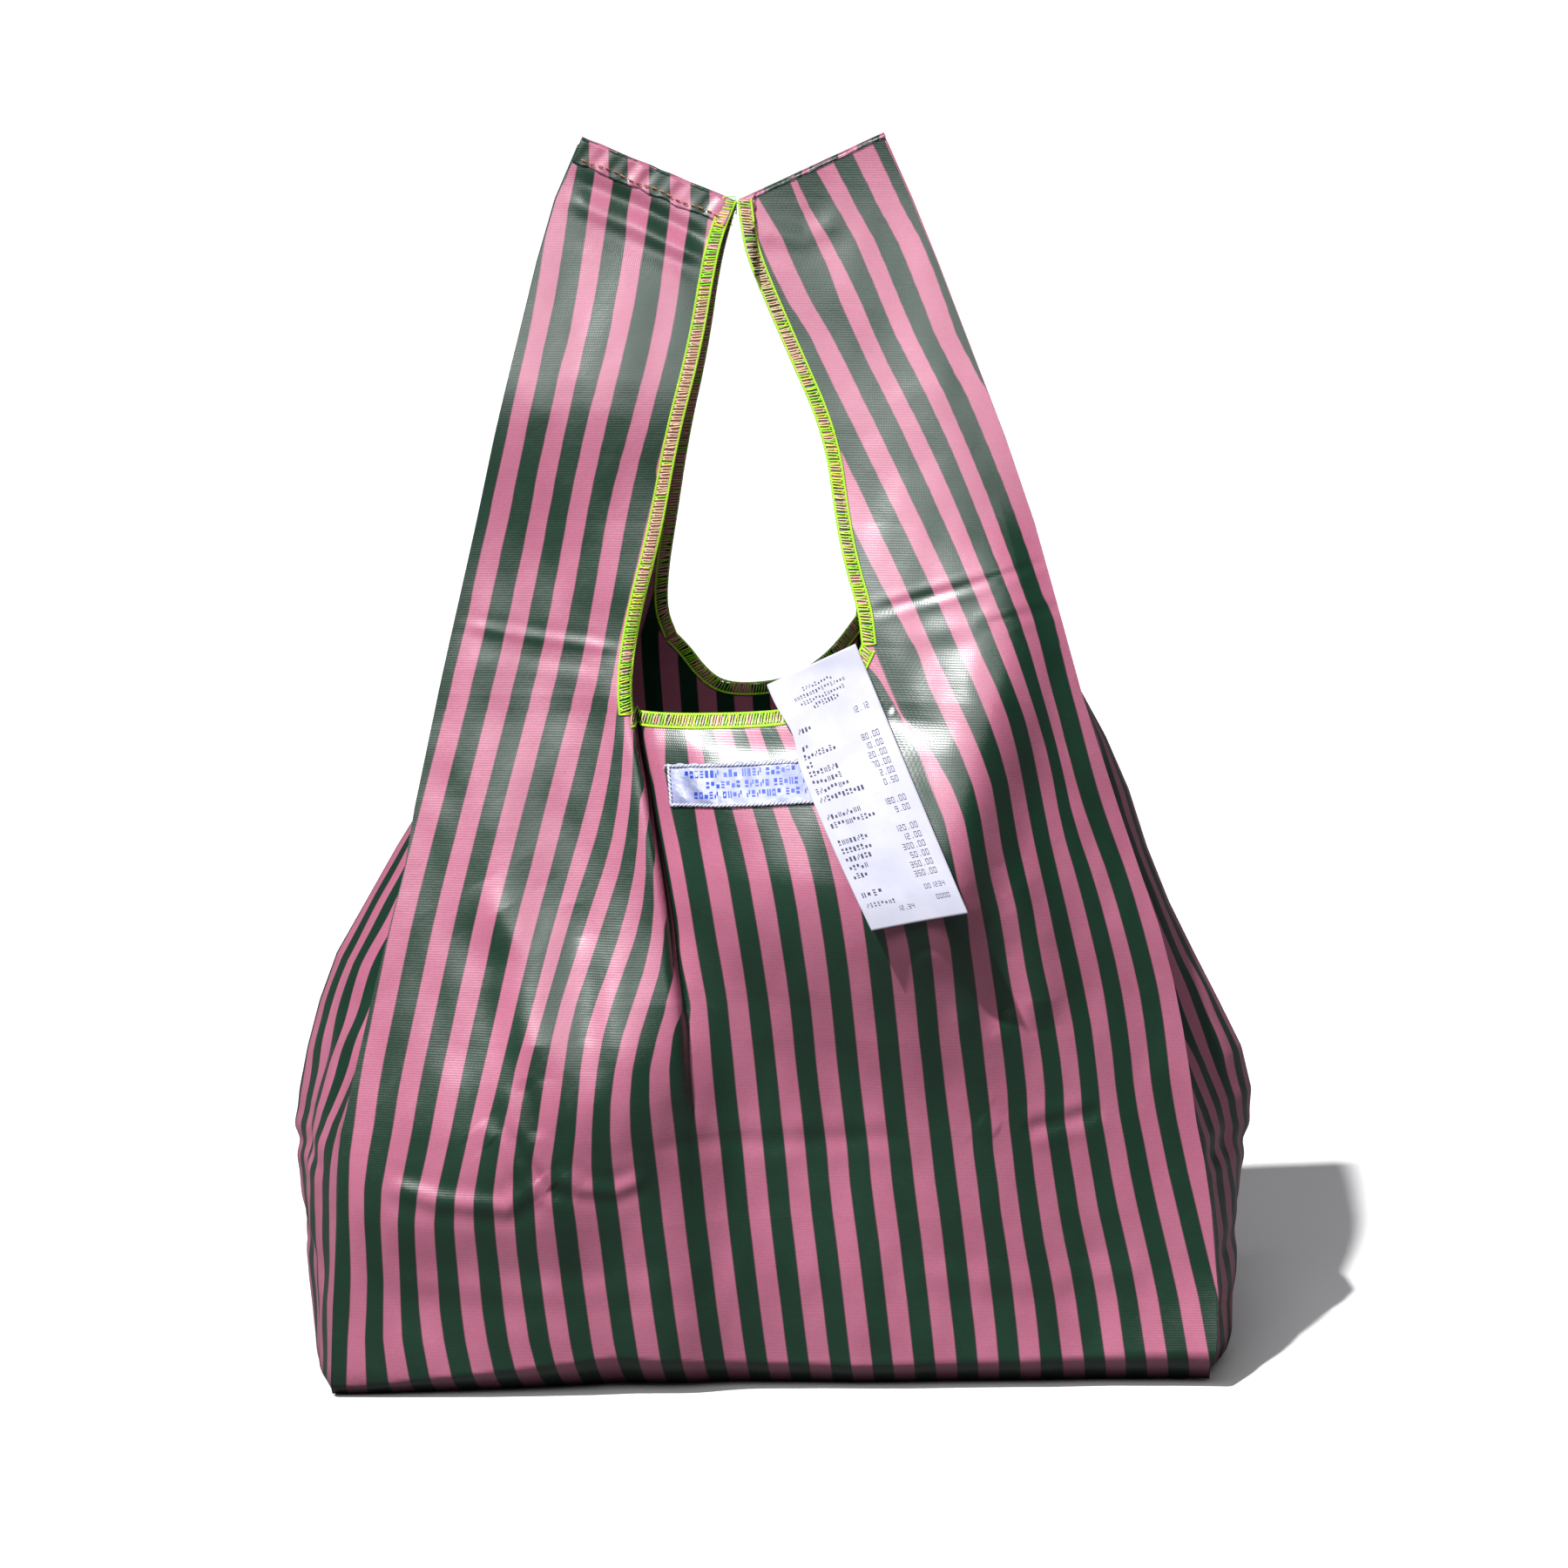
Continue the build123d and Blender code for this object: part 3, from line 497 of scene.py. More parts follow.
def cubic_weights(v, knots):
    """Catmull-Rom weights on uneven knots: four indices, four weights."""
    i = np.clip(np.searchsorted(knots, v, side="right") - 1, 0, len(knots) - 2)
    h = knots[i + 1] - knots[i]
    f = np.clip((v - knots[i]) / h, 0, 1)
    before, after = np.maximum(i - 1, 0), np.minimum(i + 2, len(knots) - 1)
    span0 = np.maximum(knots[i + 1] - knots[before], 1e-6)
    span1 = np.maximum(knots[after] - knots[i], 1e-6)
    h00, h10 = 2 * f**3 - 3 * f**2 + 1, f**3 - 2 * f**2 + f
    h01, h11 = -2 * f**3 + 3 * f**2, f**3 - f**2
    w0, w3 = -h10 * h / span0, h11 * h / span1
    w1, w2 = h00 - h11 * h / span1, h01 + h10 * h / span0
    return (before, i, i + 1, after), (w0, w1, w2, w3)


def form(x, z):
    x, z = np.broadcast_arrays(np.asarray(x, float), np.asarray(z, float))
    ix, wx = cubic_weights(x, FORM_X)
    iz, wz = cubic_weights(z, FORM_Z)
    return sum(wz[a] * sum(wx[c] * FORM[iz[a], ix[c]] for c in range(4)) for a in range(4))


# finer hang of the front: spline knots every 22 mm, 23 columns from x = -242 and
# rows from z = -22; each row takes two lines
DRAPE_STEP, DRAPE_X, DRAPE_Z = 22.0, -242.0, -22.0
DRAPE = number_table(23, """
-2.8 -3.5 -3.8 -3.2 -1.8 0.3 2.7 4.7 6.3 7.3 7.6
7.2 6.2 4.8 3.2 1.3 -0.8 -2.6 -4.5 -6 -7 -7.8 -8.4
-1.9 -3 -3.8 -3.7 -2.5 -0.3 2.1 4.2 5.8 6.7 6.9
6.4 5.4 3.9 2.6 0.9 -0.9 -2.8 -4.8 -6.8 -8.6 -9.8 -10.7
-0.7 -2.2 -3.5 -4.2 -3.2 -1.1 1.3 3.5 5 5.8 5.9
5.3 4 2.8 1.6 0.4 -1 -2.5 -4.5 -7 -9.6 -11.6 -12.7
0.8 -0.6 -2.2 -3.5 -3.2 -1.7 0.4 2.3 3.6 4.2 4.1
3.4 1.9 0.8 0.3 -0.1 -0.5 -1.5 -3.1 -6 -9.5 -12.6 -14.4
2.2 1.2 -0.1 -1.4 -1.8 -1.3 -0.1 1.1 2.1 2.6 2.4
1.3 -0.2 -1 -0.7 0.1 0.7 0.3 -1.4 -4.7 -9.1 -12.8 -15.4
3 2.6 2.1 1.5 0.9 0.3 0.2 0.5 0.9 0.9 0.4
-0.5 -1.7 -2 -0.9 1.2 2.4 1.9 -0.2 -4.2 -9.1 -12.9 -15.9
3 2.5 2 1.5 1.4 1.4 0.9 0.4 0.1 -0.4 -1.5
-2.7 -3.1 -2.2 0.2 3.4 5.1 4.2 1 -3.8 -8.9 -12.8 -15.8
2.3 1.5 0.5 0 0 0.6 0.8 0.8 0.2 -1.4 -3.2
-4.2 -3.4 -1.1 2.4 6.2 8.2 7.2 3 -2.7 -8.2 -12.1 -15.2
1.5 0.2 -1 -2.1 -2.2 -2.1 -0.8 0.5 -0.4 -2.7 -5.3
-5.6 -3.4 0.4 5.3 9.8 12.1 10.8 5.8 -0.8 -6.7 -10.7 -14.1
0.9 -1.2 -3.2 -4.8 -5.1 -6 -5.1 -3.7 -5.7 -6.4 -7.1
-5.8 -2.3 2.8 8.5 13.6 16.1 14.9 9.7 2.5 -3.9 -8.5 -12.3
0.6 -1.2 -3.1 -4.7 -6.6 -9.1 -9.6 -9.9 -13.5 -11.6 -7.3
-3.1 1.6 6.6 12.3 17.4 19.9 18.5 13.4 6.1 -0.6 -5.8 -10.2
0.8 -1 -2.6 -4.4 -7.3 -11 -12 -13.7 -17.6 -13.3 -5.5
1.3 6.5 10.8 15.6 20.4 22.9 21.4 16.4 9.2 2.5 -3 -8
0.9 -1.1 -2.7 -4.8 -7.5 -10.6 -12.5 -16.1 -18.4 -12.1 -3.3
3.8 8.8 12.3 16.9 21.8 24.5 23 18.5 11.7 5 -0.8 -6.1
0.8 -1.5 -3.8 -6.1 -8 -9.4 -11.4 -15.6 -15.8 -11.2 -6
-1.1 4.1 9.5 15.5 21.7 24.9 23.1 18.7 12.7 6.5 0.7 -4.5
0.8 -2.1 -4.9 -7.8 -9.7 -10.3 -10.4 -13.3 -12.9 -11.3 -10.1
-7.4 -1.7 5.6 12.6 19.7 23.8 21.9 17.3 12 6.6 1.5 -3.4
0.8 -2.5 -5.9 -9.3 -12.2 -13.4 -13.5 -14 -11.7 -10.4 -9.7
-7.4 -2.3 4.3 10.5 16.2 20.7 19.6 15.4 10.8 6.1 1.6 -2.7
1 -2.5 -6.3 -10.4 -14.2 -16.4 -16.9 -15.8 -12 -9.6 -7.9
-5.3 -0.8 5.3 11.2 15.2 18.1 17.4 13.6 9.5 5.3 1.4 -2.4
1.4 -2.2 -5.9 -9.9 -13.6 -16.5 -17.7 -16.3 -12.1 -8.6 -6
-3.3 0.4 5.7 11.7 15.7 17.2 16 12.2 8.3 4.5 1.1 -2.2
1.6 -1.8 -5.3 -8.6 -11.9 -14.8 -16.1 -14.5 -10.5 -7.1 -4.6
-2.2 0.6 4.7 10.2 13.3 13.8 13.2 10.2 6.8 3.6 0.6 -2
2 -1.4 -4.7 -8.2 -11.5 -14.6 -15.3 -12.3 -8.3 -5.8 -3.9
-2.1 0 3.2 7.7 9.6 8.4 8.6 7.3 5.2 2.7 0.4 -1.9
2.2 -1.1 -4.5 -8.1 -11.6 -14.7 -15.4 -11.9 -8.4 -6 -4.4
-2.9 -1.4 1 4.5 6.7 5.3 5.7 5.2 3.7 1.9 0.2 -1.7
2.4 -1.1 -4.7 -8.4 -12.2 -15 -15.5 -14.4 -11.3 -7.8 -5.8
-4.6 -3.6 -1.5 2.4 5.5 5.3 4.9 4.1 2.8 1.4 -0.1 -1.6
2.4 -1.2 -4.9 -8.7 -12.6 -15.3 -15.7 -15.2 -12.4 -9.1 -7.3
-6.8 -6 -3.8 1 5.3 5.6 4.9 3.7 2.5 1.1 -0.2 -1.5
2.2 -1.2 -5.1 -8.9 -12.7 -15.5 -15.9 -15.2 -12.6 -9.6 -8.7
-8.5 -7.7 -4.8 -0.5 4.2 5.5 4.9 3.6 2.2 1 -0.1 -1.2
2.2 -1.2 -5 -9 -12.9 -15.9 -16.3 -15.1 -13 -10.2 -9.6
-9.6 -7.5 -3.7 -0.2 3.8 5.2 4.7 3.5 2.2 1 -0.1 -1.1
2.4 -1.2 -4.7 -8.6 -12.7 -16.1 -17.3 -16.3 -14.4 -11.5 -10.8
-10 -6.2 -1.2 1.9 4.2 4.8 4.4 3.3 2.1 1 0 -1
2.4 -0.7 -4.1 -7.9 -12 -16 -18.3 -17.8 -15.8 -13.3 -12.3
-10.6 -5.5 0.7 4.1 4.8 4.7 4 3 1.9 0.9 0 -0.8
2.5 -0.3 -3.4 -6.7 -10.7 -14.6 -17.7 -18.1 -16.1 -13.9 -12.7
-10.7 -6.3 -0.2 3.7 4.4 4.2 3.5 2.5 1.6 0.8 0 -0.8
2.7 0.3 -2.3 -5.2 -8.4 -11.8 -14.5 -15.3 -14.3 -12.8 -11.6
-10 -7.4 -3.4 0.7 2.6 2.9 2.6 2 1.3 0.6 0 -0.6
3.1 1.1 -1.1 -3.3 -5.8 -8.3 -10.2 -11.2 -11.1 -10.3 -9.6
-8.5 -6.9 -4.4 -1.4 0.5 1.5 1.6 1.3 0.8 0.4 -0.1 -0.6
3.6 1.9 0.3 -1.3 -3 -4.7 -6 -6.9 -7.3 -7.3 -7.2
-6.8 -6 -4.6 -2.8 -1.2 0 0.4 0.4 0.4 0 -0.3 -0.7
""")


def spline_weights(v, count):
    """Uniform cubic B-spline: knot index and the weights of the four knots around it."""
    i = np.clip(np.floor(v).astype(int), 1, count - 3)
    t = np.clip(v - i, 0, 1)
    return i, ((1 - t) ** 3 / 6, (3 * t**3 - 6 * t**2 + 4) / 6,
               (-3 * t**3 + 3 * t**2 + 3 * t + 1) / 6, t**3 / 6)


def drape(x, z):
    x, z = np.broadcast_arrays(np.asarray(x, float), np.asarray(z, float))
    ix, wx = spline_weights((x - DRAPE_X) / DRAPE_STEP, DRAPE.shape[1])
    iz, wz = spline_weights((z - DRAPE_Z) / DRAPE_STEP, DRAPE.shape[0])
    hang = sum(wz[a] * sum(wx[c] * DRAPE[iz + a - 1, ix + c - 1] for c in range(4))
               for a in range(4))
    # fades to nothing at the floor and up the straps
    low = np.clip((z - 6) / 55, 0, 1)
    high = np.clip(np.where(x < -10, (490 - z) / 100, (602 - z) / 120), 0, 1)
    return hang * smoothstep(low) * smoothstep(high)


def relief(x, z, side):
    """Outward wrinkles of a face."""
    scale = np.interp(z, [0, 25, 60, 330, 420, 560, 600], [0.25, 0.6, 1.0, 1.0, 0.8, 0.6, 0.4])
    shift, broad_height = ((0, 0.85), (517.0, 1.7))[side]
    r = broad_height * broad(x + shift, z) + 0.34 * small(x + shift, z)
    if side == FRONT:
        for pts, height, width in SWELLS:
            r = r + swell(x, z, pts, height, width)
        for pts, height, width in CREASES:
            r = r + crease(x, z, pts, height, width)
    else:
        for pts, height, width in CREASES[:BACK_CREASES:2]:
            r = r + crease(x, z, [(-px - 8, pz + 6) for px, pz in pts], height, width)
    from_fold = np.minimum(x - station(z, LEFT), station(z, RIGHT) - x)
    r = r * scale * (0.35 + 0.65 * np.clip(from_fold / 14.0, 0.0, 1.0))
    return r + form(x, z) + drape(x, z) if side == FRONT else r


# ---------------------------------------------------------------- the two faces
def plain_depth(x, z):
    """Distance of a face from the middle plane, before any wrinkle."""
    left, right = station(z, LEFT), station(z, RIGHT)
    s = np.clip((2 * x - left - right) / (right - left), -1.15, 1.15)
    z = np.asarray(z, float)
    # the fold's depth is averaged over nearby heights
    nearby = ((-16, 0.08), (-11, 0.13), (-5.5, 0.18), (0, 0.22), (5.5, 0.18), (11, 0.13), (16, 0.08))
    half = sum(weight * station(z + offset, HALF_DEPTH) for offset, weight in nearby)
    return half + station(z, BULGE) * (1 - s * s)


def pleat_depth(x, z):
    """How far the cloth dips behind the front near the neckline's left end."""
    x, z = np.broadcast_arrays(np.asarray(x, float), np.asarray(z, float))
    d = x - np.interp(z, PLEAT_LINE[:, 0], PLEAT_LINE[:, 1])
    depth = np.interp(z, PLEAT[:, 0], PLEAT[:, 4])
    roll = np.interp(z, PLEAT[:, 0], PLEAT[:, 5])
    fade = np.interp(z, [90, 150], [0, 1])
    high = np.interp(z, [PLEAT_TOP, 430], [1, 0])
    rise = np.interp(z, [125, 158, 195, 250, 300, 333], [0.3, 4.5, 7.0, 5.0, 3.0, 2.5]) * high
    drop = np.interp(z, [130, 190, 250, 333], [0.0, 3.0, 5.5, 8.0])
    # left of the fold the cloth swells out, then turns in just at the fold
    turn_in = np.exp(np.minimum(d, 0) / 1.6) * np.interp(z, [120, 170], [0, 1]) * high
    left = -rise * np.exp(-(np.minimum(d, 0) / 36.0) ** 2) + (rise * 0.8 + 0.8) * turn_in
    right = drop * np.exp(-np.maximum(d - 2, 0) / 42.0)
    valley = np.interp(d, [-1.5, 0, 1.1, 2.6, 4.5, 9], [0, 0, 1, 0.12, 0.03, 0])
    dip = np.where(d < 0, left, right * np.clip(d / 1.3, 0, 1))
    dip = dip + np.maximum(depth - roll, 0) * valley
    return np.where((z > PLEAT_TOP) & (d > 0), 0.8 * high, dip) * fade


def toe(z, height=6.0, depth=3.2):
    """Inward turn of the back and sides just above the floor."""
    t = np.clip(1 - z / height, 0, 1)
    return depth * (1 - np.sqrt(1 - t * t * 0.98))


def front_toe(x, z):
    """Inward turn of the front, which lifts unevenly along its length."""
    height = np.interp(x, [-215, -195, -150, -78, -30, 40, 120, 190, 215],
                       [6.0, 8.0, 14.0, 23.0, 18.0, 15.0, 17.0, 20.0, 20.0])
    return 1.25 * height * np.clip(1 - z / height, 0, 1) ** 1.55


def front_y(x, z):
    plain = plain_depth(x, z)
    h = plain + relief(x, z, FRONT) - pleat_depth(x, z) - front_toe(x, z)
    # up the straps the front never sinks to the back
    least = 0.55 * plain + 0.6
    soft = 0.5 * (h + least + np.sqrt((h - least) ** 2 + 4.0))
    return -(h + smoothstep(np.clip((np.asarray(z) - 400) / 60.0, 0, 1)) * (soft - h))


def back_y(x, z):
    return plain_depth(x, z) + relief(x, z, BACK) - toe(z)


def face_y(side, x, z, out=0.0):
    """y of a face, or of a point standing out mm off it."""
    return front_y(x, z) - out if side == FRONT else back_y(x, z) + out


def face_points(side, x, z, out=0.0):
    return np.stack([x, face_y(side, x, z, out), z], -1)


# ---------------------------------------------------------------- mesh helpers
def make_object(name, verts_mm, faces, material, uv=None, smooth=True):
    me = bpy.data.meshes.new(name)
    me.from_pydata((np.asarray(verts_mm) * MM).tolist(), [], [tuple(f) for f in faces])
    if uv is not None:
        layer = me.uv_layers.new(name="cloth")
        loops = np.empty(len(me.loops), np.int32)
        me.loops.foreach_get("vertex_index", loops)
        # one UV unit is 100 mm of cloth
        layer.data.foreach_set("uv", (np.asarray(uv)[loops] * MM * 10).astype(np.float32).ravel())
    me.materials.append(material)
    me.validate()
    me.update()
    if smooth:
        me.polygons.foreach_set("use_smooth", [True] * len(me.polygons))
    ob = bpy.data.objects.new(name, me)
    bpy.context.scene.collection.objects.link(ob)
    return ob


def grid_faces(rows, columns, flip=False, offset=0):
    i = (np.arange(rows - 1)[:, None] * columns + np.arange(columns - 1)[None, :]).ravel() + offset
    f = np.stack([i, i + 1, i + columns + 1, i + columns], 1)
    return (f[:, ::-1] if flip else f).tolist()


def face_normals(points, side):
    """Outward normals of a face from its height function, so neighbours shade alike."""
    x, z, e = points[:, :, 0], points[:, :, 2], 0.5
    z_low = np.maximum(z - e, 0)
    gx = (face_y(side, x + e, z) - face_y(side, x - e, z)) / (2 * e)
    gz = (face_y(side, x, z + e) - face_y(side, x, z_low)) / (z + e - z_low)
    n = np.stack([gx, -np.ones_like(gx), gz], 2)
    if side == BACK:
        n = -n
    return n / np.linalg.norm(n, axis=2, keepdims=True)


def sheet(name, points, uv, material, thick=0.35, flip=False, normals=None, open_row=None):
    """Thin cloth from a grid of points; thickness goes to the inside.

    open_row leaves the rim off the row where another sheet carries on.
    """
    rows, columns = points.shape[:2]
    n = np.cross(np.gradient(points, axis=1), np.gradient(points, axis=0))
    n /= np.linalg.norm(n, axis=2, keepdims=True) + 1e-12
    if flip:
        n = -n
    inner = points - n * thick
    verts = np.concatenate([points.reshape(-1, 3), inner.reshape(-1, 3)])
    count = rows * columns
    faces = grid_faces(rows, columns, flip) + grid_faces(rows, columns, not flip, count)
    ring = [(0, j) for j in range(columns)]
    ring += [(i, columns - 1) for i in range(1, rows)]
    ring += [(rows - 1, j) for j in range(columns - 2, -1, -1)]
    ring += [(i, 0) for i in range(rows - 2, 0, -1)]
    left_open = None if open_row is None else open_row % rows
    for p, q in zip(ring, ring[1:] + ring[:1]):
        if p[0] == q[0] == left_open:
            continue
        a, b = p[0] * columns + p[1], q[0] * columns + q[1]
        if flip:
            a, b = b, a
        faces.append([a, a + count, b + count, b])
    ob = make_object(name, verts, faces, material, np.concatenate([uv.reshape(-1, 2)] * 2))
    if normals is not None:
        both = np.concatenate([normals.reshape(-1, 3), -normals.reshape(-1, 3)])
        ob.data.normals_split_custom_set_from_vertices(both.tolist())
    return ob


class Tubes:
    """Many thin round threads gathered in one mesh."""

    def __init__(self):
        self.blocks, self.faces, self.tints, self.count = [], [], [], 0

    def add(self, pts, radius, sides=5, tint=0.0):
        pts = np.asarray(pts, float)
        n = len(pts)
        t = np.gradient(pts, axis=0)
        t /= np.linalg.norm(t, axis=1, keepdims=True) + 1e-9
        a = np.cross(t, np.array([0.31, 0.87, 0.38]))
        a /= np.linalg.norm(a, axis=1, keepdims=True) + 1e-9
        b = np.cross(t, a)
        base = self.count
        radii = np.broadcast_to(radius, (n,))[:, None]
        for k in range(sides):
            angle = 2 * math.pi * k / sides
            self.blocks.append(pts + (a * math.cos(angle) + b * math.sin(angle)) * radii)
            self.tints.append(np.full(n, tint))
        self.count += n * sides
        for k in range(sides):
            p, q = base + k * n, base + (k + 1) % sides * n
            self.faces += [[p + i, q + i, q + i + 1, p + i + 1] for i in range(n - 1)]
        self.faces.append([base + k * n for k in range(sides)][::-1])
        self.faces.append([base + k * n + n - 1 for k in range(sides)])

    def build(self, name, material):
        ob = make_object(name, np.concatenate(self.blocks), self.faces, material)
        attribute = ob.data.attributes.new("tint", "FLOAT", "POINT")
        attribute.data.foreach_set("value", np.concatenate(self.tints).astype(np.float32))
        return ob


class Marks:
    """Small flat printed rectangles; place(x, y) puts a point of the print in space."""

    def __init__(self, place):
        self.place, self.verts = place, []

    def rectangle(self, x0, y0, x1, y1):
        self.verts += [self.place(x, y) for x, y in ((x0, y0), (x1, y0), (x1, y1), (x0, y1))]

    def glyph(self, boxes, x, y, w, h, fill=1.0):
        """Boxes drawn on a 3 by 5 field, with its lower left at (x, y)."""
        for x0, y0, x1, y1 in boxes:
            self.rectangle(x + w * x0 / 3, y + h * y0 / 5,
                           x + w * (x0 + (x1 - x0) * fill) / 3, y + h * (y0 + (y1 - y0) * fill) / 5)

    def build(self, name, material):
        faces = [[i, i + 1, i + 2, i + 3] for i in range(0, len(self.verts), 4)]
        return make_object(name, np.array(self.verts), faces, material, smooth=False)


# bars, hooks and dots that stand for small print without spelling anything
GLYPHS = [
    [(0, 0, 2.5, 5)], [(0, 0, 2.5, 2), (0, 3, 2.5, 5)], [(0, 1, 2.5, 4)],
    [(0, 0, 1, 5), (1.7, 0, 2.7, 5)], [(0, 0, 2.5, 1.3), (0, 2.2, 2.5, 5)], [(0, 0, 2.5, 3)],
    [(0, 2, 2.5, 5)], [(0, 0, 2.5, 1.2), (0, 1.9, 2.5, 3.1), (0, 3.8, 2.5, 5)],
    [(0, 0, 1, 3), (1.5, 2, 2.6, 5)],
]


def random_glyph():
    return GLYPHS[int(rng.integers(0, len(GLYPHS)))]


# ---------------------------------------------------------------- materials
def srgb(r, g, b):
    def linear(c):
        c /= 255.0
        return c / 12.92 if c <= 0.04045 else ((c + 0.055) / 1.055) ** 2.4
    return (linear(r), linear(g), linear(b), 1.0)


class Nodes:
    """A material and short ways to add nodes to it."""

    def __init__(self, name):
        self.mat = bpy.data.materials.new(name)
        self.mat.use_nodes = True
        self.tree = self.mat.node_tree
        self.bsdf = next(n for n in self.tree.nodes if n.type == "BSDF_PRINCIPLED")

    def node(self, kind, **props):
        n = self.tree.nodes.new(kind)
        for key, value in props.items():
            setattr(n, key, value)
        return n

    def put(self, socket, value):
        if isinstance(value, bpy.types.NodeSocket):
            self.tree.links.new(value, socket)
        else:
            socket.default_value = value

    def surface(self, values):
        for key, value in values.items():
            self.put(self.bsdf.inputs[key], value)

    def math(self, op, a, b=None):
        n = self.node("ShaderNodeMath", operation=op)
        self.put(n.inputs[0], a)
        if b is not None:
            self.put(n.inputs[1], b)
        return n.outputs[0]

    def add(self, a, b):
        return self.math("ADD", a, b)

    def sub(self, a, b):
        return self.math("SUBTRACT", a, b)

    def mul(self, a, b):
        return self.math("MULTIPLY", a, b)

    def mix(self, factor, a, b):
        n = self.node("ShaderNodeMix", data_type="RGBA")
        for i, value in ((0, factor), (6, a), (7, b)):
            self.put(n.inputs[i], value)
        return n.outputs[2]

    def noise(self, vector, scale, detail=2.0, rough=0.5):
        n = self.node("ShaderNodeTexNoise")
        for key, value in (("Vector", vector), ("Scale", scale), ("Detail", detail),
                           ("Roughness", rough)):
            self.put(n.inputs[key], value)
        return n.outputs["Fac"]

    def step(self, x, lo, hi):
        n = self.node("ShaderNodeMapRange", interpolation_type="SMOOTHSTEP")
        for key, value in (("Value", x), ("From Min", lo), ("From Max", hi)):
            self.put(n.inputs[key], value)
        return n.outputs["Result"]

    def split(self, vector):
        n = self.node("ShaderNodeSeparateXYZ")
        self.put(n.inputs[0], vector)
        return n.outputs

    def cloth_uv(self):
        return self.node("ShaderNodeUVMap", uv_map="cloth").outputs[0]

    def object_place(self):
        return self.node("ShaderNodeTexCoord").outputs["Object"]

    def bump(self, into, height, strength, distance):
        """Bump feeding the socket `into`; returns its own Normal input, for a bump below."""
        n = self.node("ShaderNodeBump")
        n.inputs["Strength"].default_value = strength
        n.inputs["Distance"].default_value = distance
        self.put(n.inputs["Height"], height)
        self.put(into, n.outputs[0])
        return n.inputs["Normal"]

    @property
    def normal(self):
        return self.bsdf.inputs["Normal"]


PINKS = srgb(180, 101, 129), srgb(190, 111, 139)
GREENS = srgb(9, 46, 31), srgb(15, 54, 38)
STRIPE_LINE = srgb(96, 58, 62)
RIB_PITCH, YARN_PITCH = 1.15, 1.05     # mm


def cloth_material(name):
    m = Nodes(name)
    uv = m.cloth_uv()
    split = m.split(uv)
    u = m.mul(split[0], 100.0)      # mm across the cloth
    v = m.mul(split[1], 100.0)      # mm along the stripes
    # woven stripes, their edges stepped by the weave
    wobble = m.noise(uv, scale=900.0, detail=0.0)
    u_wobbly = m.add(u, m.mul(m.sub(wobble, 0.5), 0.42))
    s = m.math("FRACT", m.add(m.math("DIVIDE", u_wobbly, PERIOD), 100.0))
    green_share = GREEN / PERIOD
    is_green = m.sub(1.0, m.step(s, lo=green_share - 0.006, hi=green_share + 0.006))
    # a darker line where the colours meet
    inner_gap = m.math("ABSOLUTE", m.sub(s, green_share))
    inner_line = m.sub(1.0, m.step(inner_gap, lo=0.006, hi=0.022))
    outer_gap = m.math("MINIMUM", s, m.sub(1.0, s))
    outer_line = m.sub(1.0, m.step(outer_gap, lo=0.006, hi=0.022))
    line = m.math("MAXIMUM", inner_line, outer_line)
    # weave: fine ribs across and yarns along
    rib = m.math("SINE", m.mul(v, 2 * math.pi / RIB_PITCH))
    phase = m.mul(m.math("SINE", m.mul(v, math.pi / RIB_PITCH)), 1.2)
    yarn = m.math("SINE", m.add(m.mul(u, 2 * math.pi / YARN_PITCH), phase))
    weave = m.add(m.mul(rib, 0.6), m.mul(yarn, 0.4))
    big = m.noise(uv, scale=2.2, detail=3.0, rough=0.55)
    fine = m.noise(uv, scale=60.0, detail=4.0, rough=0.6)
    pink = m.mix(m.step(big, lo=0.3, hi=0.7), *PINKS)
    green = m.mix(m.step(big, lo=0.3, hi=0.7), *GREENS)
    base = m.mix(is_green, pink, green)
    base = m.mix(m.mul(line, 0.45), base, STRIPE_LINE)
    # brightness varies with the weave, and painted shade darkens it along the floor edge
    light = m.add(0.94, m.add(m.mul(weave, 0.05), m.mul(m.sub(fine, 0.5), 0.22)))
    # painted shade: the cloth darkens over its lowest 3 to 17 mm, darkest at the floor
    free_of_floor_shade = m.step(m.add(v, m.mul(fine, 3.0)), lo=3.0, hi=17.0)
    light = m.mul(light, m.add(0.3, m.mul(free_of_floor_shade, 0.7)))
    hsv = m.node("ShaderNodeHueSaturation")
    m.put(hsv.inputs["Color"], base)
    m.put(hsv.inputs["Value"], light)
    # laminated face: soft gloss with faint scuffs
    scuff = m.step(m.noise(uv, scale=9.0, detail=5.0, rough=0.65), lo=0.52, hi=0.72)
    m.surface({
        "Base Color": hsv.outputs[0],
        "Roughness": m.add(0.305, m.add(m.mul(scuff, 0.07), m.mul(fine, 0.08))),
        "Specular IOR Level": 0.78,
        "Coat Roughness": 0.34,
    })
    under = m.bump(m.normal, weave, strength=0.16, distance=0.00012)
    rumple = m.noise(uv, scale=7.0, detail=4.0, rough=0.55)
    m.bump(under, rumple, strength=0.5, distance=0.0004)
    return m.mat


def thread_material(name, main, other, dark, rough):
    """Thread that runs from main to other with its tint; tints above 1.5 are pale."""
    m = Nodes(name)
    tint = m.node("ShaderNodeAttribute", attribute_name="tint").outputs["Fac"]
    place = m.object_place()
    speckle = m.noise(place, scale=2600.0)
    slow = m.noise(place, scale=60.0)
    colour = m.mix(m.step(m.add(tint, m.mul(m.sub(slow, 0.5), 0.9)), lo=0.3, hi=0.7), main, other)
    colour = m.mix(m.mul(m.step(speckle, lo=0.35, hi=0.75), 0.35), colour, dark)
    colour = m.mix(m.step(tint, lo=1.4, hi=1.6), colour, srgb(228, 196, 152))
    m.surface({"Base Color": colour, "Roughness": rough, "Sheen Weight": 0.15})
    fibre = m.noise(place, scale=1800.0, detail=1.0)
    m.bump(m.normal, fibre, strength=0.6, distance=0.0002)
    return m.mat


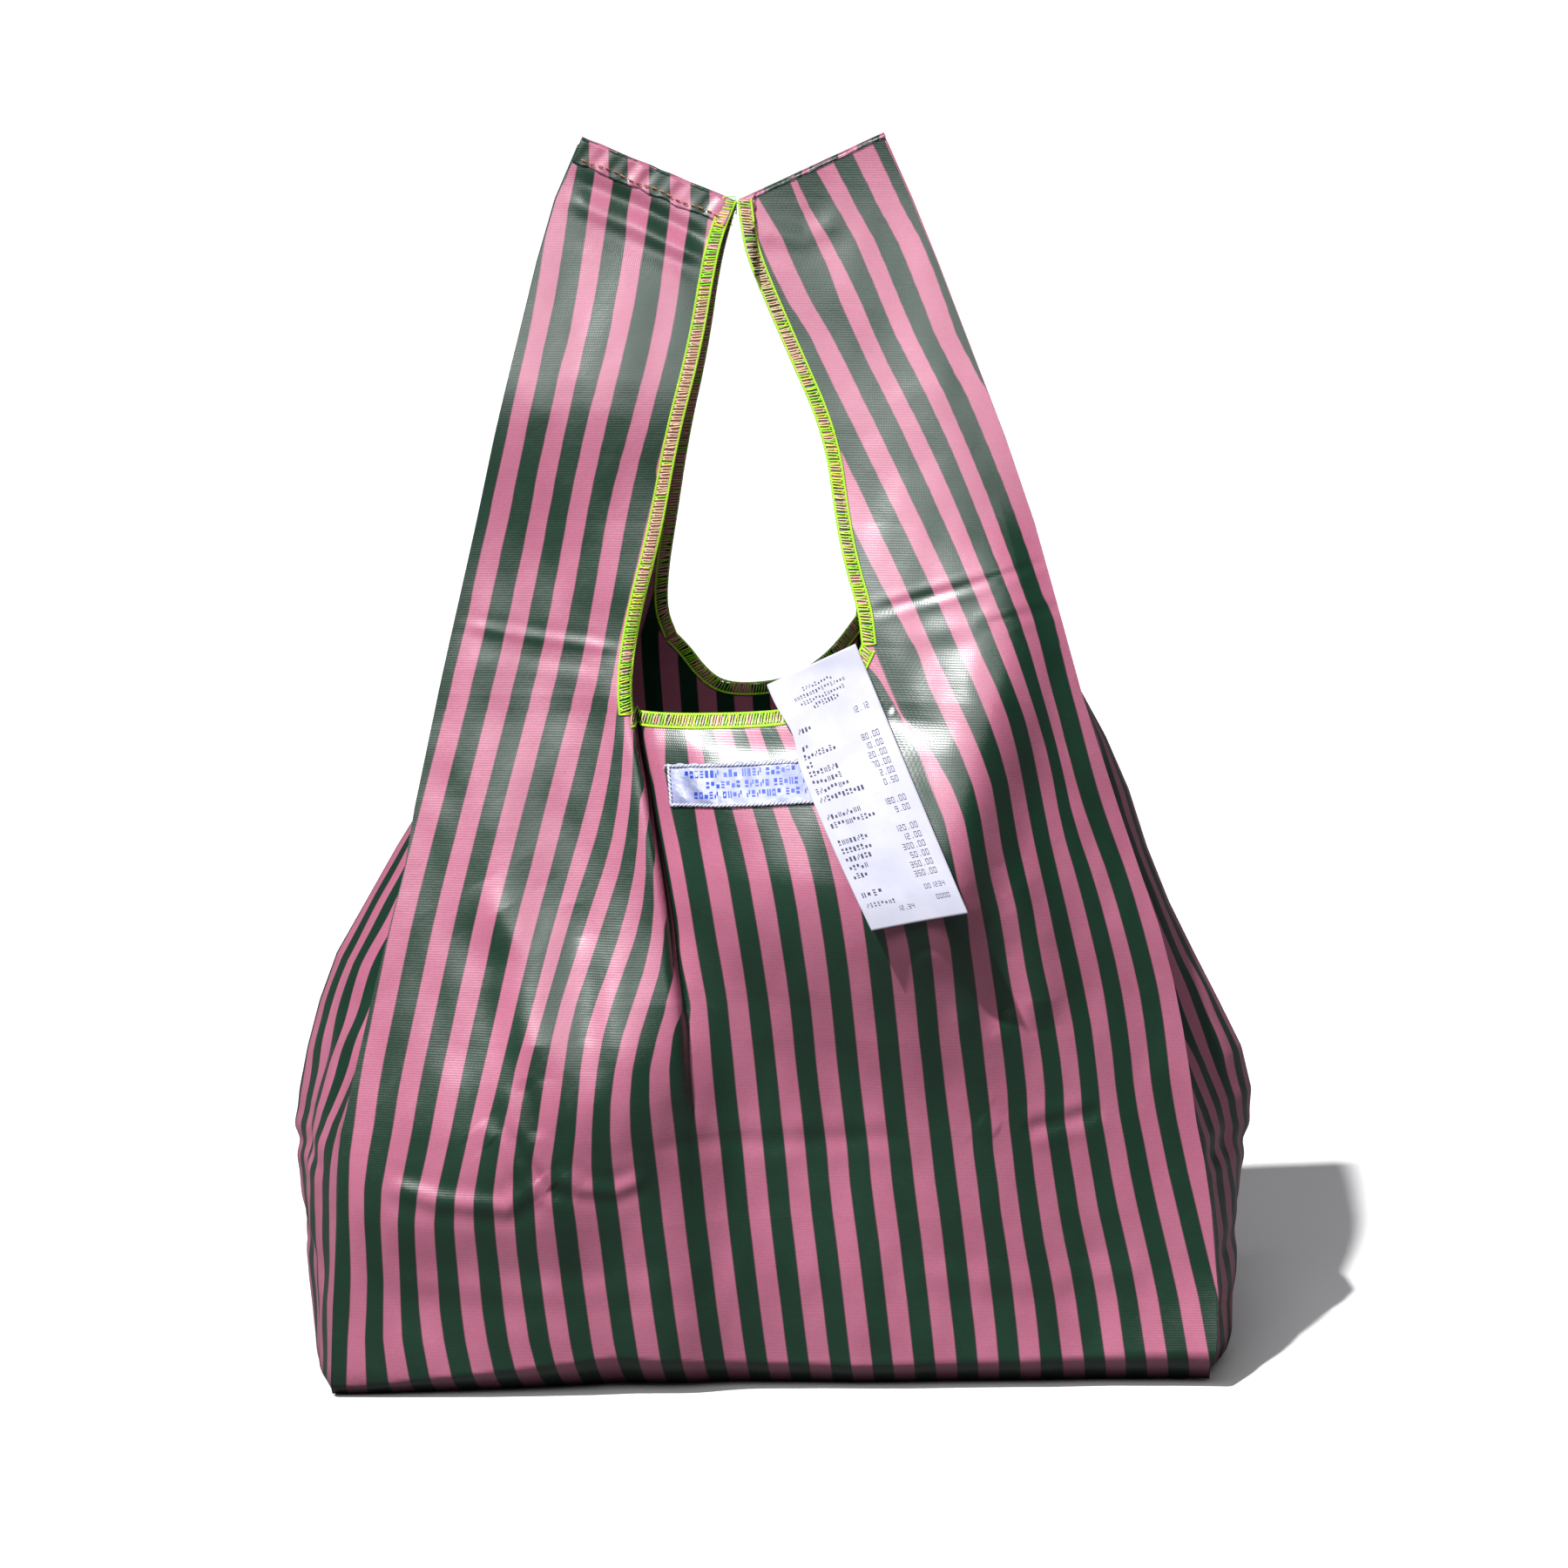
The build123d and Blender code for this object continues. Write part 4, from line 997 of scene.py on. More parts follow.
def label_material():
    m = Nodes("label_film")
    uv = m.cloth_uv()
    split = m.split(uv)
    a = m.mul(split[0], 100.0)
    b = m.mul(split[1], 100.0)
    cloud = m.noise(uv, scale=12.0, detail=3.0)
    base = m.mix(m.step(cloud, lo=0.3, hi=0.7), srgb(158, 166, 206), srgb(190, 192, 224))
    ribbon_weave = m.mul(m.math("SINE", m.mul(b, 2 * math.pi / 0.55)),
                         m.math("SINE", m.mul(a, 2 * math.pi / 0.7)))
    m.surface({"Base Color": base, "Metallic": 0.35, "Roughness": m.add(0.26, m.mul(cloud, 0.2))})
    under = m.bump(m.normal, ribbon_weave, strength=0.35, distance=0.0002)
    m.bump(under, m.noise(uv, scale=16.0), strength=0.6, distance=0.0012)
    return m.mat


def ink_material(name, colour, lighter, rough):
    m = Nodes(name)
    patch = m.step(m.noise(m.object_place(), scale=900.0, detail=3.0), lo=0.35, hi=0.7)
    m.surface({"Base Color": m.mix(patch, colour, lighter), "Roughness": rough})
    return m.mat


def paper_material():
    m = Nodes("slip_paper")
    uv = m.cloth_uv()
    cloud = m.noise(uv, scale=6.0, detail=4.0)
    grain = m.noise(uv, scale=220.0, detail=3.0)
    base = m.mix(m.step(cloud, lo=0.3, hi=0.75), srgb(190, 190, 208), srgb(202, 202, 217))
    base = m.mix(m.mul(m.step(grain, lo=0.5, hi=0.8), 0.12), base, srgb(170, 170, 192))
    m.surface({"Base Color": base, "Roughness": 0.62, "Specular IOR Level": 0.3})
    m.bump(m.normal, m.noise(uv, scale=5.0, detail=3.0), strength=0.3, distance=0.0009)
    return m.mat


CLOTH = cloth_material("striped_cloth")
THREAD = thread_material("neon_thread", main=srgb(150, 240, 36), other=srgb(232, 240, 60),
                         dark=srgb(90, 190, 30), rough=0.45)
SILVER = thread_material("silver_thread", main=srgb(214, 216, 232), other=srgb(238, 238, 246),
                         dark=srgb(150, 152, 176), rough=0.35)
ORANGE = thread_material("hem_thread", main=srgb(178, 92, 42), other=srgb(206, 120, 60),
                         dark=srgb(120, 60, 28), rough=0.6)
LABEL_FILM = label_material()
BLUE_INK = ink_material("label_ink", srgb(10, 56, 176), srgb(22, 76, 196), rough=0.5)
GREY_INK = ink_material("slip_ink", srgb(52, 50, 74), srgb(84, 82, 108), rough=0.8)
PAPER = paper_material()

# ---------------------------------------------------------------- cloth of faces and straps
KNOT_STEP = 3.0
KNOT_Z = np.arange(0, 364.1, KNOT_STEP)
KNOTS = [front_knots(float(z)) for z in KNOT_Z]
# cloth u of the left and right folds at each of those heights
FOLD_U = {"left": relax(np.array([u[0] for u, _ in KNOTS]), 6),
          "right": relax(np.array([u[-1] for u, _ in KNOTS]), 6)}
for (u, _), left_u, right_u in zip(KNOTS, FOLD_U["left"], FOLD_U["right"]):
    u[0], u[-1] = min(left_u, u[1] - 0.5), max(right_u, u[-2] + 0.5)

# the back: cloth u at its middle, its full width, its width of cloth, and the cloth's ease
BACK_MID_U, BACK_WIDTH, BACK_CLOTH, BACK_EASE = -440.7, 429.0, 430.0, 1.08


def front_grid(rows=176, columns=300):
    """Body front from the floor to the neckline and the strap borders."""
    share = np.linspace(0.0, 1.0, columns)
    table_u = np.array([u[0] + (u[-1] - u[0]) * share for u, _ in KNOTS])
    table_x = np.array([np.interp(row, u, x) for row, (u, x) in zip(table_u, KNOTS)])
    column = np.arange(columns)

    def look_up(table, z):
        i = np.clip(z / KNOT_STEP, 0, len(KNOT_Z) - 1.001)
        below = i.astype(int)
        f = i - below
        return table[below, column] * (1 - f) + table[below + 1, column] * f

    top = settle_top(lambda z: look_up(table_x, z), FRONT_NECK, np.full(columns, 330.0))
    z = top * np.linspace(0, 1, rows)[:, None]
    x = relax(look_up(table_x, z), 2)
    return face_points(FRONT, x, z), np.stack([look_up(table_u, z), z], 2)


def back_grid(rows=130, columns=200):
    share = np.linspace(0, 1, columns)

    def x_at(z):
        return station(z, LEFT) + (station(z, RIGHT) - station(z, LEFT)) * share

    top = settle_top(x_at, BACK_NECK, np.full(columns, 340.0))
    z = top[None, :] * np.linspace(0, 1, rows)[:, None]
    spread = (station(z, RIGHT) - station(z, LEFT)) / BACK_WIDTH
    u = BACK_MID_U - BACK_CLOTH * (share - 0.5) * np.clip(spread * BACK_EASE, 0, 1)
    return face_points(BACK, x_at(z), z), np.stack([u, z], 2)


def strap_grid(side, strap, rows=190, columns=66):
    """One face of a strap, from its border up to the top edge, outer edge first."""
    edge = strap.edges[side]
    border = edge[0, 1]
    share = np.linspace(0, 1, columns)
    t = np.linspace(0, 1, rows)[:, None]
    (x_out, z_out), (x_in, z_in) = strap.outer, strap.inner
    z = border + (z_out + (z_in - z_out) * share - border) * t
    line = smooth_line(edge, 2.0)
    line = line[np.argsort(line[:, 1])]
    fold_x = station(z, strap.fold)
    x = fold_x + (np.interp(z, line[:, 1], line[:, 0]) - fold_x) * share
    # keep the top corners where the outline puts them
    w = np.clip((t - 0.86) / 0.14, 0, 1) ** 2
    top_x = x_out + (x_in - x_out) * share
    x = x * (1 - w) + (top_x + (x - top_x) * (1 - w)) * w
    if side == FRONT:
        u = relax(strap_u(x, z, strap), 4)
    else:
        width = float(station(border, RIGHT) - station(border, LEFT))
        s = min(BACK_EASE * width / BACK_WIDTH, 1.0)
        rate = np.interp(z, [border, border + 90.0], [BACK_CLOTH * s / width, 1.0])
        u = BACK_MID_U - strap.sign * BACK_CLOTH / 2 * s - rate * (x - fold_x)
    return face_points(side, x, z), np.stack([u, z], 2)


# creases across the gussets: line as (y, height), height of the ridge, width
GUSSET_CREASES = [
    ([(-90, 108), (-40, 112), (0, 104), (50, 112), (90, 106)], -1.6, 5.0),
    ([(-80, 60), (0, 68), (80, 60)], -1.0, 6.0),
]


def gusset_grid(tag, on_strap, rows=170, columns=90):
    """Side of the body, or of a strap, from front fold to back fold."""
    strap = STRAPS[tag]
    sign, right = strap.sign, tag == "right"
    q = np.linspace(-1, 1, columns)     # -1 front fold, 0 middle, 1 back fold
    b = np.abs(q)
    front_border, back_border = (edge[0, 1] for edge in strap.edges)
    border = front_border + (back_border - front_border) * (q + 1) / 2
    bottom, top = 0.0, border
    if on_strap:
        (x0, z0), (x1, z1) = strap.top
        bottom, top = border, np.full(columns, strap.outer[1] - 3)
        for _ in range(12):
            top_x = station(top, strap.fold) * b + station(top, strap.mid) * (1 - b)
            top = 0.5 * top + 0.5 * (z0 + (z1 - z0) / (x1 - x0) * (top_x - x0) - 4.0)
    z = bottom + (top - bottom) * np.linspace(0, 1, rows)[:, None]
    fold_x, mid_x, belly = (station(z, c) for c in (strap.fold, strap.mid, BELLY))
    y = (np.where(q < 0, -front_y(fold_x, z), back_y(fold_x, z)) - 0.25) * q
    # the middle fold is slightly rounded
    bs = np.sqrt(b * b + 0.004) - np.sqrt(0.004) * (1 - b)
    arch = np.where(belly > 0, np.sin(np.pi * b), np.sin(np.pi * b ** 2.2))
    x = fold_x * bs + mid_x * (1 - bs) + sign * belly * arch
    waves = 1.9 * broad(y * 1.3 + 900 * (1 + right), z) + 0.7 * small(y + 300, z)
    waves = waves * np.sin(np.pi * b)
    waves = waves * np.interp(z, [0, 40, 250, 320], [0.4, 1.3, 1.3, 0.15])
    for pts, height, width in GUSSET_CREASES:
        waves = waves + crease(y, z, pts, height, width)
    x = x + sign * waves * np.clip((1 - b) * 8, 0, 1)
    if right:
        # the right side draws in a little above the floor
        pinch = np.interp(z, [8, 20, 35, 60, 90, 130], [0.0, 3.0, 5.5, 5.0, 3.0, 0.0])
        x = x - pinch * np.clip((1 - b) * 5, 0, 1)
    x = x - sign * toe(z) * 0.8
    u = np.interp(z, KNOT_Z, FOLD_U[tag]) + sign * 105.0 * (q + 1)
    return np.stack([x, y, z], 2), np.stack([u, z], 2)


def base_grid(rows=60, columns=120):
    """Base: nearly flat cloth a little above the floor."""
    t = np.linspace(-1, 1, rows)[:, None]
    half = np.abs(t)
    left = -231.0 + (231.0 - 214.0) * half + 3
    right = 225.0 + (205.0 - 225.0) * half - 3
    x = left + (right - left) * np.linspace(0, 1, columns)
    floor_z = np.zeros_like(x)
    y = t * np.where(t < 0, -front_y(x, floor_z), back_y(x, floor_z))
    z = 0.45 + 0.35 * np.abs(small(x, y))
    return np.stack([x, y, z], 2), np.stack([x + 217.3, y + 300.0], 2)


def seam_grid():
    """Seam allowance standing up inside, along the middle of the base."""
    x, t = np.meshgrid(np.linspace(-198, 198, 200), np.linspace(0, 1, 8))
    y = 1.1 * np.sin(x / 9.0) * t + 0.6
    z = 1.2 + 8.0 * t + 0.3 * np.sin(x / 5.0) * t
    return np.stack([x, y, z], 2), np.stack([x + 217.3, z], 2)


body = []            # everything that rides with the body, in order
strap_cloth = {}     # the cloth of each strap
for side, word, grid in ((FRONT, "front", front_grid), (BACK, "back", back_grid)):
    points, uv = grid()
    ob = sheet(f"bag_{word}", points, uv, CLOTH, flip=side == BACK,
               normals=face_normals(points, side), open_row=-1)
    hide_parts(f"{word}_panel")
    body.append(ob)

for tag, strap in STRAPS.items():
    right = tag == "right"
    strap_cloth[tag] = []
    for side, word in ((FRONT, "front"), (BACK, "back")):
        points, uv = strap_grid(side, strap)
        ob = sheet(f"{tag}_strap_{word}_cloth", points, uv, CLOTH, flip=(side == BACK) != right,
                   normals=face_normals(points, side), open_row=0)
        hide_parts(f"{tag}_strap_{word}")
        strap_cloth[tag].append(ob)
    ob = sheet(f"{tag}_side_cloth", *gusset_grid(tag, on_strap=False), CLOTH,
               flip=not right, open_row=-1)
    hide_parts(f"{tag}_gusset_front_half", f"{tag}_gusset_back_half")
    body.append(ob)
    ob = sheet(f"{tag}_strap_side_cloth", *gusset_grid(tag, on_strap=True), CLOTH,
               flip=not right, open_row=0)
    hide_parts(f"{tag}_strap_gusset")
    strap_cloth[tag].append(ob)

base = sheet("bag_base", *base_grid(), CLOTH, flip=True, thick=0.3)
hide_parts("base_panel")
seam = sheet("bottom_seam_cloth", *seam_grid(), CLOTH, thick=1.1)
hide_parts("bottom_seam")
body += [base, seam]

# ---------------------------------------------------------------- overlocked edges
# Thread paths, one point per row: steps along the edge (times the loop's lean), depth into
# the cloth as a share of the width, depth added in mm, height off the cloth in mm.
LOOP = ((0, 1, 0, -0.25), (0, 1, 0, 0.34), (0.3, 0.72, 0, 0.60), (0.65, 0.38, 0, 0.64),
        (1, 0, 0.25, 0.50), (1.06, 0, -0.62, 0.0), (1.08, 0, -0.45, -0.85),
        (0.95, 0, 0.5, -1.05), (0.5, 0.5, 0, -1.05), (0, 0.95, 0, -0.8))
BRIDGE = ((0, 0.98, 0, 0.5), (-0.55, 0.6, 0, 0.80), (-0.15, 0.22, 0, 0.78), (0.3, 0, -0.35, 0.35))
LOOP_WIDTH, LOOP_PITCH = 5.8, 1.4
# twisted threads along the edge: height off the cloth, depth into it
CHAINS = ((0.55, LOOP_WIDTH), (-0.95, LOOP_WIDTH * 0.96), (0.42, -0.3))
# the two strands of each: sign of the twist, radius, tint
STRANDS = ((1, 0.33, 0.15), (-1, 0.30, 0.7))
PALE_TINT = 2.0


def overlock(name, line, side, into, pale):
    """Looped thread along an edge.

    into is +1 when the cloth is on the right of the line's direction in (x, z), else -1;
    pale lists (height, share of pale loops).
    """
    pts = smooth_line(line, LOOP_PITCH)
    t = np.gradient(pts, axis=0)
    t /= np.linalg.norm(t, axis=1, keepdims=True)
    relax(t, 4)
    n = np.stack([t[:, 1], -t[:, 0]], 1) * into
    n /= np.linalg.norm(n, axis=1, keepdims=True)
    jitter = rng.normal(0, 1, (len(pts), 4))
    pale_z, pale_share = zip(*pale)
    paths = []      # (path, radius, sides, tint)

    def add_path(shape, i, lean, width, radius, tint):
        path = [(i + lean * step, width * share + extra, out) for step, share, extra, out in shape]
        paths.append((path, radius, 4, tint))

    for i in range(len(pts) - 1):
        width = LOOP_WIDTH + 0.25 * jitter[i, 0]
        lean = 0.9 + 0.25 * jitter[i, 1]
        tint = float(np.clip(0.35 + 0.28 * jitter[i, 2], 0, 1))
        bridge_tint = min(tint + 0.35, 1.0)
        chance = np.interp(pts[i, 1], pale_z, pale_share) * 1.6 - 0.3
        if jitter[i, 3] * 0.5 + 0.5 < chance:
            tint = bridge_tint = PALE_TINT
        add_path(LOOP, i, lean, width, 0.36, tint)
        if i % 2 == 0:
            add_path(BRIDGE, i, 1.0, width, 0.3, bridge_tint)
    steps = np.arange((len(pts) - 1) * 4 + 1) / 4.0
    for out, depth in CHAINS:
        for sign, radius, tint in STRANDS:
            twist = 2 * math.pi * steps
            path = np.c_[steps, depth + sign * 0.45 * np.sin(twist), out + sign * 0.16 * np.cos(twist)]
            paths.append((path, radius, 5, tint))
    # lay every path on the face at once
    flat = np.array([p for path, *_ in paths for p in path])
    i0 = np.clip(flat[:, 0], 0, len(pts) - 1.0001)
    a = i0.astype(int)
    f = (i0 - a)[:, None]
    centre = pts[a] * (1 - f) + pts[a + 1] * f
    inward = n[a] * (1 - f) + n[a + 1] * f
    xz = centre + inward * flat[:, 1:2]
    xyz = face_points(side, xz[:, 0], xz[:, 1], flat[:, 2])
    tubes = Tubes()
    at = 0
    for path, radius, sides, tint in paths:
        tubes.add(xyz[at:at + len(path)], radius, sides, tint)
        at += len(path)
    return tubes.build(name, THREAD)


# piece replaced, object name, edge, face, into, (height, share of pale loops)
OVERLOCKS = [
    ("front_neck", "front_neck", FRONT_NECK, FRONT, 1, ((0, 0.25),)),
    ("back_neck", "back_neck", BACK_NECK, BACK, 1, ((0, 0.25),)),
    ("left_strap_front", "left_front_edge", LEFT_FRONT_EDGE, FRONT, -1,
     ((330, 0.1), (385, 0.3), (400, 0.95), (520, 0.95), (538, 0.1), (575, 0.0))),
    ("left_strap_back", "left_back_edge", LEFT_BACK_EDGE, BACK, -1, ((330, 0.5), (575, 0.9))),
    ("right_strap_front", "right_front_edge", RIGHT_FRONT_EDGE, FRONT, 1,
     ((360, 0.3), (425, 0.3), (440, 0.2), (485, 0.25), (498, 0.95), (575, 0.9))),
    ("right_strap_back", "right_back_edge", RIGHT_BACK_EDGE, BACK, 1, ((360, 0.5), (575, 0.9))),
]
overlocks = {}
for piece, name, line, side, into, pale in OVERLOCKS:
    overlocks[piece] = overlock(f"{name}_thread", line, side, into, pale)
    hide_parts(f"{piece}_overlock")


# ---------------------------------------------------------------- hems at the strap tops
def top_edge(strap):
    """Length of a strap's top edge, and place(s, d): s along it, d down into the strap."""
    (x0, z0), (x1, z1) = strap.top
    length = math.dist(*strap.top)
    tx, tz = (x1 - x0) / length, (z1 - z0) / length
    return length, lambda s, d: (x0 + tx * s + tz * d, z0 + tz * s - tx * d)


def hem(name, strap, front_depth, back_depth, gather, rows=34, columns=110):
    """Turned cloth wrapped over a strap's top edge."""
    over = 0.16         # share of the path, each way, that rounds the edge
    length, place = top_edge(strap)
    s = np.linspace(0.0, length, columns)
    points, uv = np.zeros((rows, columns, 3)), np.zeros((rows, columns, 2))
    # up the front, round the top, down the back
    for i, w in enumerate(np.linspace(-1, 1, rows)):
        a = abs(w)
        flat = a >= over
        if flat:
            depth = front_depth if w < 0 else back_depth
            side_y, down = math.copysign(1.0, w), 1.0 + (a - over) / (1 - over) * (depth - 1.0)
        else:
            angle = w / over * math.pi / 2
            side_y, down = math.sin(angle), (1.0 - math.cos(angle)) * 1.6 - 0.6
        ruffle = np.sin(s / 2.9 + 1.3 * np.sin(s / 7.0)) * (a if flat else 0.3)
        x, z = place(s, down + gather * 0.5 * ruffle)
        half = np.abs(face_y(FRONT if side_y < 0 else BACK, x, z)) + 0.75
        puff = 0.55 * np.sin(s / 2.3 + 0.8 * np.sin(s / 5.1)) * np.sin(np.pi * min(a * 1.02, 1))
        puff = gather * (puff + 0.35 * np.sin(s / 1.3 + a * 3))
        points[i] = np.stack([x, side_y * (half + puff * (0.6 if flat else 0.2)), z], 1)
        uv[i, :, 0] = strap_u(x, np.full_like(x, min(z.mean(), 570)), strap)
        uv[i, :, 1] = z
    return sheet(name, points, uv, CLOTH, thick=0.3)


def running_stitch(name, strap, down, stitch, gap, sides):
    length, place = top_edge(strap)
    tubes = Tubes()
    q = np.linspace(0, 1, 7)
    for side in sides:
        s = 4.0
        while s < length - 5:
            along = s + stitch * q
            x, z = place(along, down + 0.5 * np.sin(along / 4.0) + 0.25 * q)
            lift = 1.55 + 0.55 * np.sin(np.pi * q)
            y = (-1 if side == FRONT else 1) * (np.abs(face_y(side, x, z)) + lift)
            tubes.add(np.stack([x, y, z], 1), 0.34, sides=6, tint=float(rng.uniform(0.2, 0.8)))
            s += stitch + gap
    return tubes.build(name, ORANGE)


left, right = STRAPS["left"], STRAPS["right"]
hems = {
    "left": hem("left_strap_hem_cloth", left, front_depth=12.5, back_depth=12.5, gather=1.0),
    "right": hem("right_strap_hem_cloth", right, front_depth=1.8, back_depth=12.0, gather=0.22),
}
for tag, ob in hems.items():
    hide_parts(f"{tag}_strap_hem")
stitches = {
    "left": running_stitch("left_hem_thread", left, down=9.4, stitch=2.6, gap=1.5,
                           sides=(FRONT, BACK)),
    "right": running_stitch("right_hem_thread", right, down=8.6, stitch=2.4, gap=1.8,
                            sides=(BACK,)),
}
for tag, ob in stitches.items():
    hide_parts(f"{tag}_strap_hem_stitching")

# ---------------------------------------------------------------- label
LABEL_X, LABEL_Z = -5.0, 299.0      # centre
LABEL_TILT = math.radians(4.2)
LABEL_LENGTH, LABEL_HEIGHT = 93.0, 20.0


def label_point(a, b, out):
    """a along and b up from the label's centre."""
    x = LABEL_X + math.cos(LABEL_TILT) * a - math.sin(LABEL_TILT) * b
    z = LABEL_Z + math.sin(LABEL_TILT) * a + math.cos(LABEL_TILT) * b
    return face_points(FRONT, x, z, out)


def label_rim(a, b):
    """Distance in from the label's nearest edge."""
    return np.minimum(LABEL_LENGTH / 2 - np.abs(a), LABEL_HEIGHT / 2 - np.abs(b))


def label_lift(a, b):
    """Height of the rippled film off the cloth."""
    rim = label_rim(a, b)
    near, far = np.clip(rim / 3, 0, 1), np.clip(rim / 4, 0, 1)
    long_ripple = 0.55 * np.sin(a * 0.16 + 0.5) * far
    short_ripple = 0.22 * np.sin(a * 0.55 + b * 0.2) * near
    return 0.9 + long_ripple + short_ripple + 0.25 * near


def label_film():
    a, b = np.meshgrid(np.linspace(-LABEL_LENGTH / 2, LABEL_LENGTH / 2, 160),
                       np.linspace(-LABEL_HEIGHT / 2, LABEL_HEIGHT / 2, 40))
    # slightly wavy edges
    wavy_a = a + 0.25 * np.sin(b * 1.3) * (label_rim(a, b) < 1)
    wavy_b = b + 0.35 * np.sin(a * 0.9) * (np.abs(b) > LABEL_HEIGHT / 2 - 1.5)
    uv = np.stack([a + LABEL_LENGTH / 2, b + LABEL_HEIGHT / 2], 2)
    points = label_point(wavy_a, wavy_b, label_lift(a, b))
    return sheet("label_film", points, uv, LABEL_FILM, thick=0.25)


def label_print():
    marks = Marks(lambda x, y: label_point(x, y, label_lift(x, y) + 0.07))
    # each line of print: height above the centre, start, end, letter height
    for b, start, end, height in ((3.2, -38.0, 42.0, 3.0), (-1.5, -28.0, 38.0, 2.8),
                                  (-6.2, -34.0, 40.0, 2.8)):
        a = start
        while a < end:
            for _ in range(int(rng.integers(3, 9))):
                if a > end:
                    break
                marks.glyph(random_glyph(), a, b + 0.02 * (a - start), 1.95, height * 1.12)
                a += 2.45
            a += 1.6
    return marks.build("label_marks", BLUE_INK)


def label_stitching():
    """Rope-like stitching round the label, with a loose end at its upper left corner."""
    tubes = Tubes()
    hw, hh = LABEL_LENGTH / 2 - 0.9, LABEL_HEIGHT / 2 - 0.9
    radii = np.array([0.25, 0.42, 0.5, 0.52, 0.5, 0.42, 0.25])
    corners = [(-hw, -hh), (hw, -hh), (hw, hh), (-hw, hh)]
    for (a0, b0), (a1, b1) in zip(corners, corners[1:] + corners[:1]):
        length = math.dist((a0, b0), (a1, b1))
        ta, tb = (a1 - a0) / length, (b1 - b0) / length
        count = int(length / 1.9)
        for i in range(count):
            strand = []
            for q in np.linspace(0, 1, 7):
                f = (i + 1.25 * q) / count
                slant = 0.62 * (q - 0.5) * 2
                a = a0 + (a1 - a0) * f - tb * slant + 0.08 * rng.normal()
                b = b0 + (b1 - b0) * f + ta * slant
                strand.append(label_point(a, b, 1.35 + 0.5 * math.sin(math.pi * q)))
            tubes.add(strand, radii, sides=6, tint=float(rng.uniform(0, 1)))
    loose = ((0, 0, 1.6), (-1.5, 0.6, 2.4), (-2.4, -0.8, 1.2), (-2.0, -2.6, 0.6))
    tubes.add([label_point(a - hw, b + hh, out) for a, b, out in loose], 0.32, sides=6, tint=0.6)
    return tubes.build("label_rope_stitch", SILVER)


body.append(label_film())
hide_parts("front_label")
body.append(label_print())
body.append(label_stitching())
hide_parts("front_label_stitching")

# ---------------------------------------------------------------- paper slip
# corners as x, height
SLIP_BL, SLIP_BR = np.array([45.2, 235.4]), np.array([90.2, 243.6])
SLIP_TL, SLIP_TR = np.array([-4.0, 344.4]), np.array([38.4, 364.0])
SLIP_WIDTH, SLIP_LENGTH = 44.5, 122.0
SLIP_ROWS, SLIP_COLUMNS = 120, 48


def slip_profile():
    """Height and distance in front of the middle plane of a taut line over the front."""
    points = []
    for z in np.arange(232.0, 352.0, 4.0):
        left = SLIP_BL[0] + (SLIP_TL[0] - SLIP_BL[0]) * (z - 235) / 110
        right = SLIP_BR[0] + (SLIP_TR[0] - SLIP_BR[0]) * (z - 241) / 122
        xs = np.linspace(left, right, 9)
        need = max(-float(front_y(x, z)) for x in xs if z < neck_z(x, FRONT_NECK) + 0.5 or x > 42)
        points.append((z, need + 2.0))
    hull = []
    for p in points:
        while len(hull) > 1 and ((hull[-1][1] - hull[-2][1]) * (p[0] - hull[-2][0])
                                 <= (p[1] - hull[-2][1]) * (hull[-1][0] - hull[-2][0])):
            hull.pop()
        hull.append(p)
    z_end, y_end = hull[-1]
    # then it leans back over the neckline
    hull += [(z_end + up, y_end - back) for up, back in ((8, 1.6), (16, 4.5), (30, 12.0))]
    return smooth_line(hull, 3.0)


def slip_grid():
    profile = slip_profile()
    across, up = np.meshgrid(np.linspace(0, 1, SLIP_COLUMNS), np.linspace(0, 1, SLIP_ROWS))
    left = SLIP_BL + (SLIP_TL - SLIP_BL) * up[..., None]
    right = SLIP_BR + (SLIP_TR - SLIP_BR) * up[..., None]
    x, z = np.moveaxis(left + (right - left) * across[..., None], 2, 0)
    # the left edge bends where it crosses the neckline
    x = x + (3.2 * np.exp(-((up - 0.80) / 0.09) ** 2) - 1.2 * np.sin(np.pi * up)) * (1 - across)
    y = -np.interp(z - 6.0 * (across - 0.5), profile[:, 0], profile[:, 1])
    y -= 9.0 * np.maximum(0.0, 0.75 - up) ** 1.3            # the foot hangs forward
    y += 1.6 * np.sin(across * np.pi) * (0.35 + 0.5 * (1 - up)) - 0.6 * np.sin(up * 5.2 + 0.4)
    y += 3.4 * np.maximum(0.0, up - 0.86) / 0.14 * (1 - across) ** 1.5
    points = relax(np.stack([x, y, z], 2), 6)
    # bring the whole slip forward until it clears the cloth by 3 mm
    x, y, z = np.moveaxis(points, 2, 0)
    over_cloth = (z < neck_z(x, FRONT_NECK) + 3.0) | (x > 38)
    gap = np.where(over_cloth, y - front_y(x, z) + 3.0, -9.0)
    points[:, :, 1] -= max(0.0, float(gap.max()))
    return points, np.stack([across * SLIP_WIDTH, up * SLIP_LENGTH], 2)


slip_points, slip_uv = slip_grid()
slip = sheet("paper_slip", slip_points, slip_uv, PAPER, thick=0.12)
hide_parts("receipt")


def slip_place(x, y):
    """Point just in front of the slip, x mm across and y mm up."""
    i = min(max(y / SLIP_LENGTH * (SLIP_ROWS - 1), 0), SLIP_ROWS - 1.001)
    j = min(max(x / SLIP_WIDTH * (SLIP_COLUMNS - 1), 0), SLIP_COLUMNS - 1.001)
    a, b = int(i), int(j)
    f, g = i - a, j - b
    low = slip_points[a, b] * (1 - g) + slip_points[a, b + 1] * g
    high = slip_points[a + 1, b] * (1 - g) + slip_points[a + 1, b + 1] * g
    return low * (1 - f) + high * f + np.array([0.0, -0.07, -0.01])


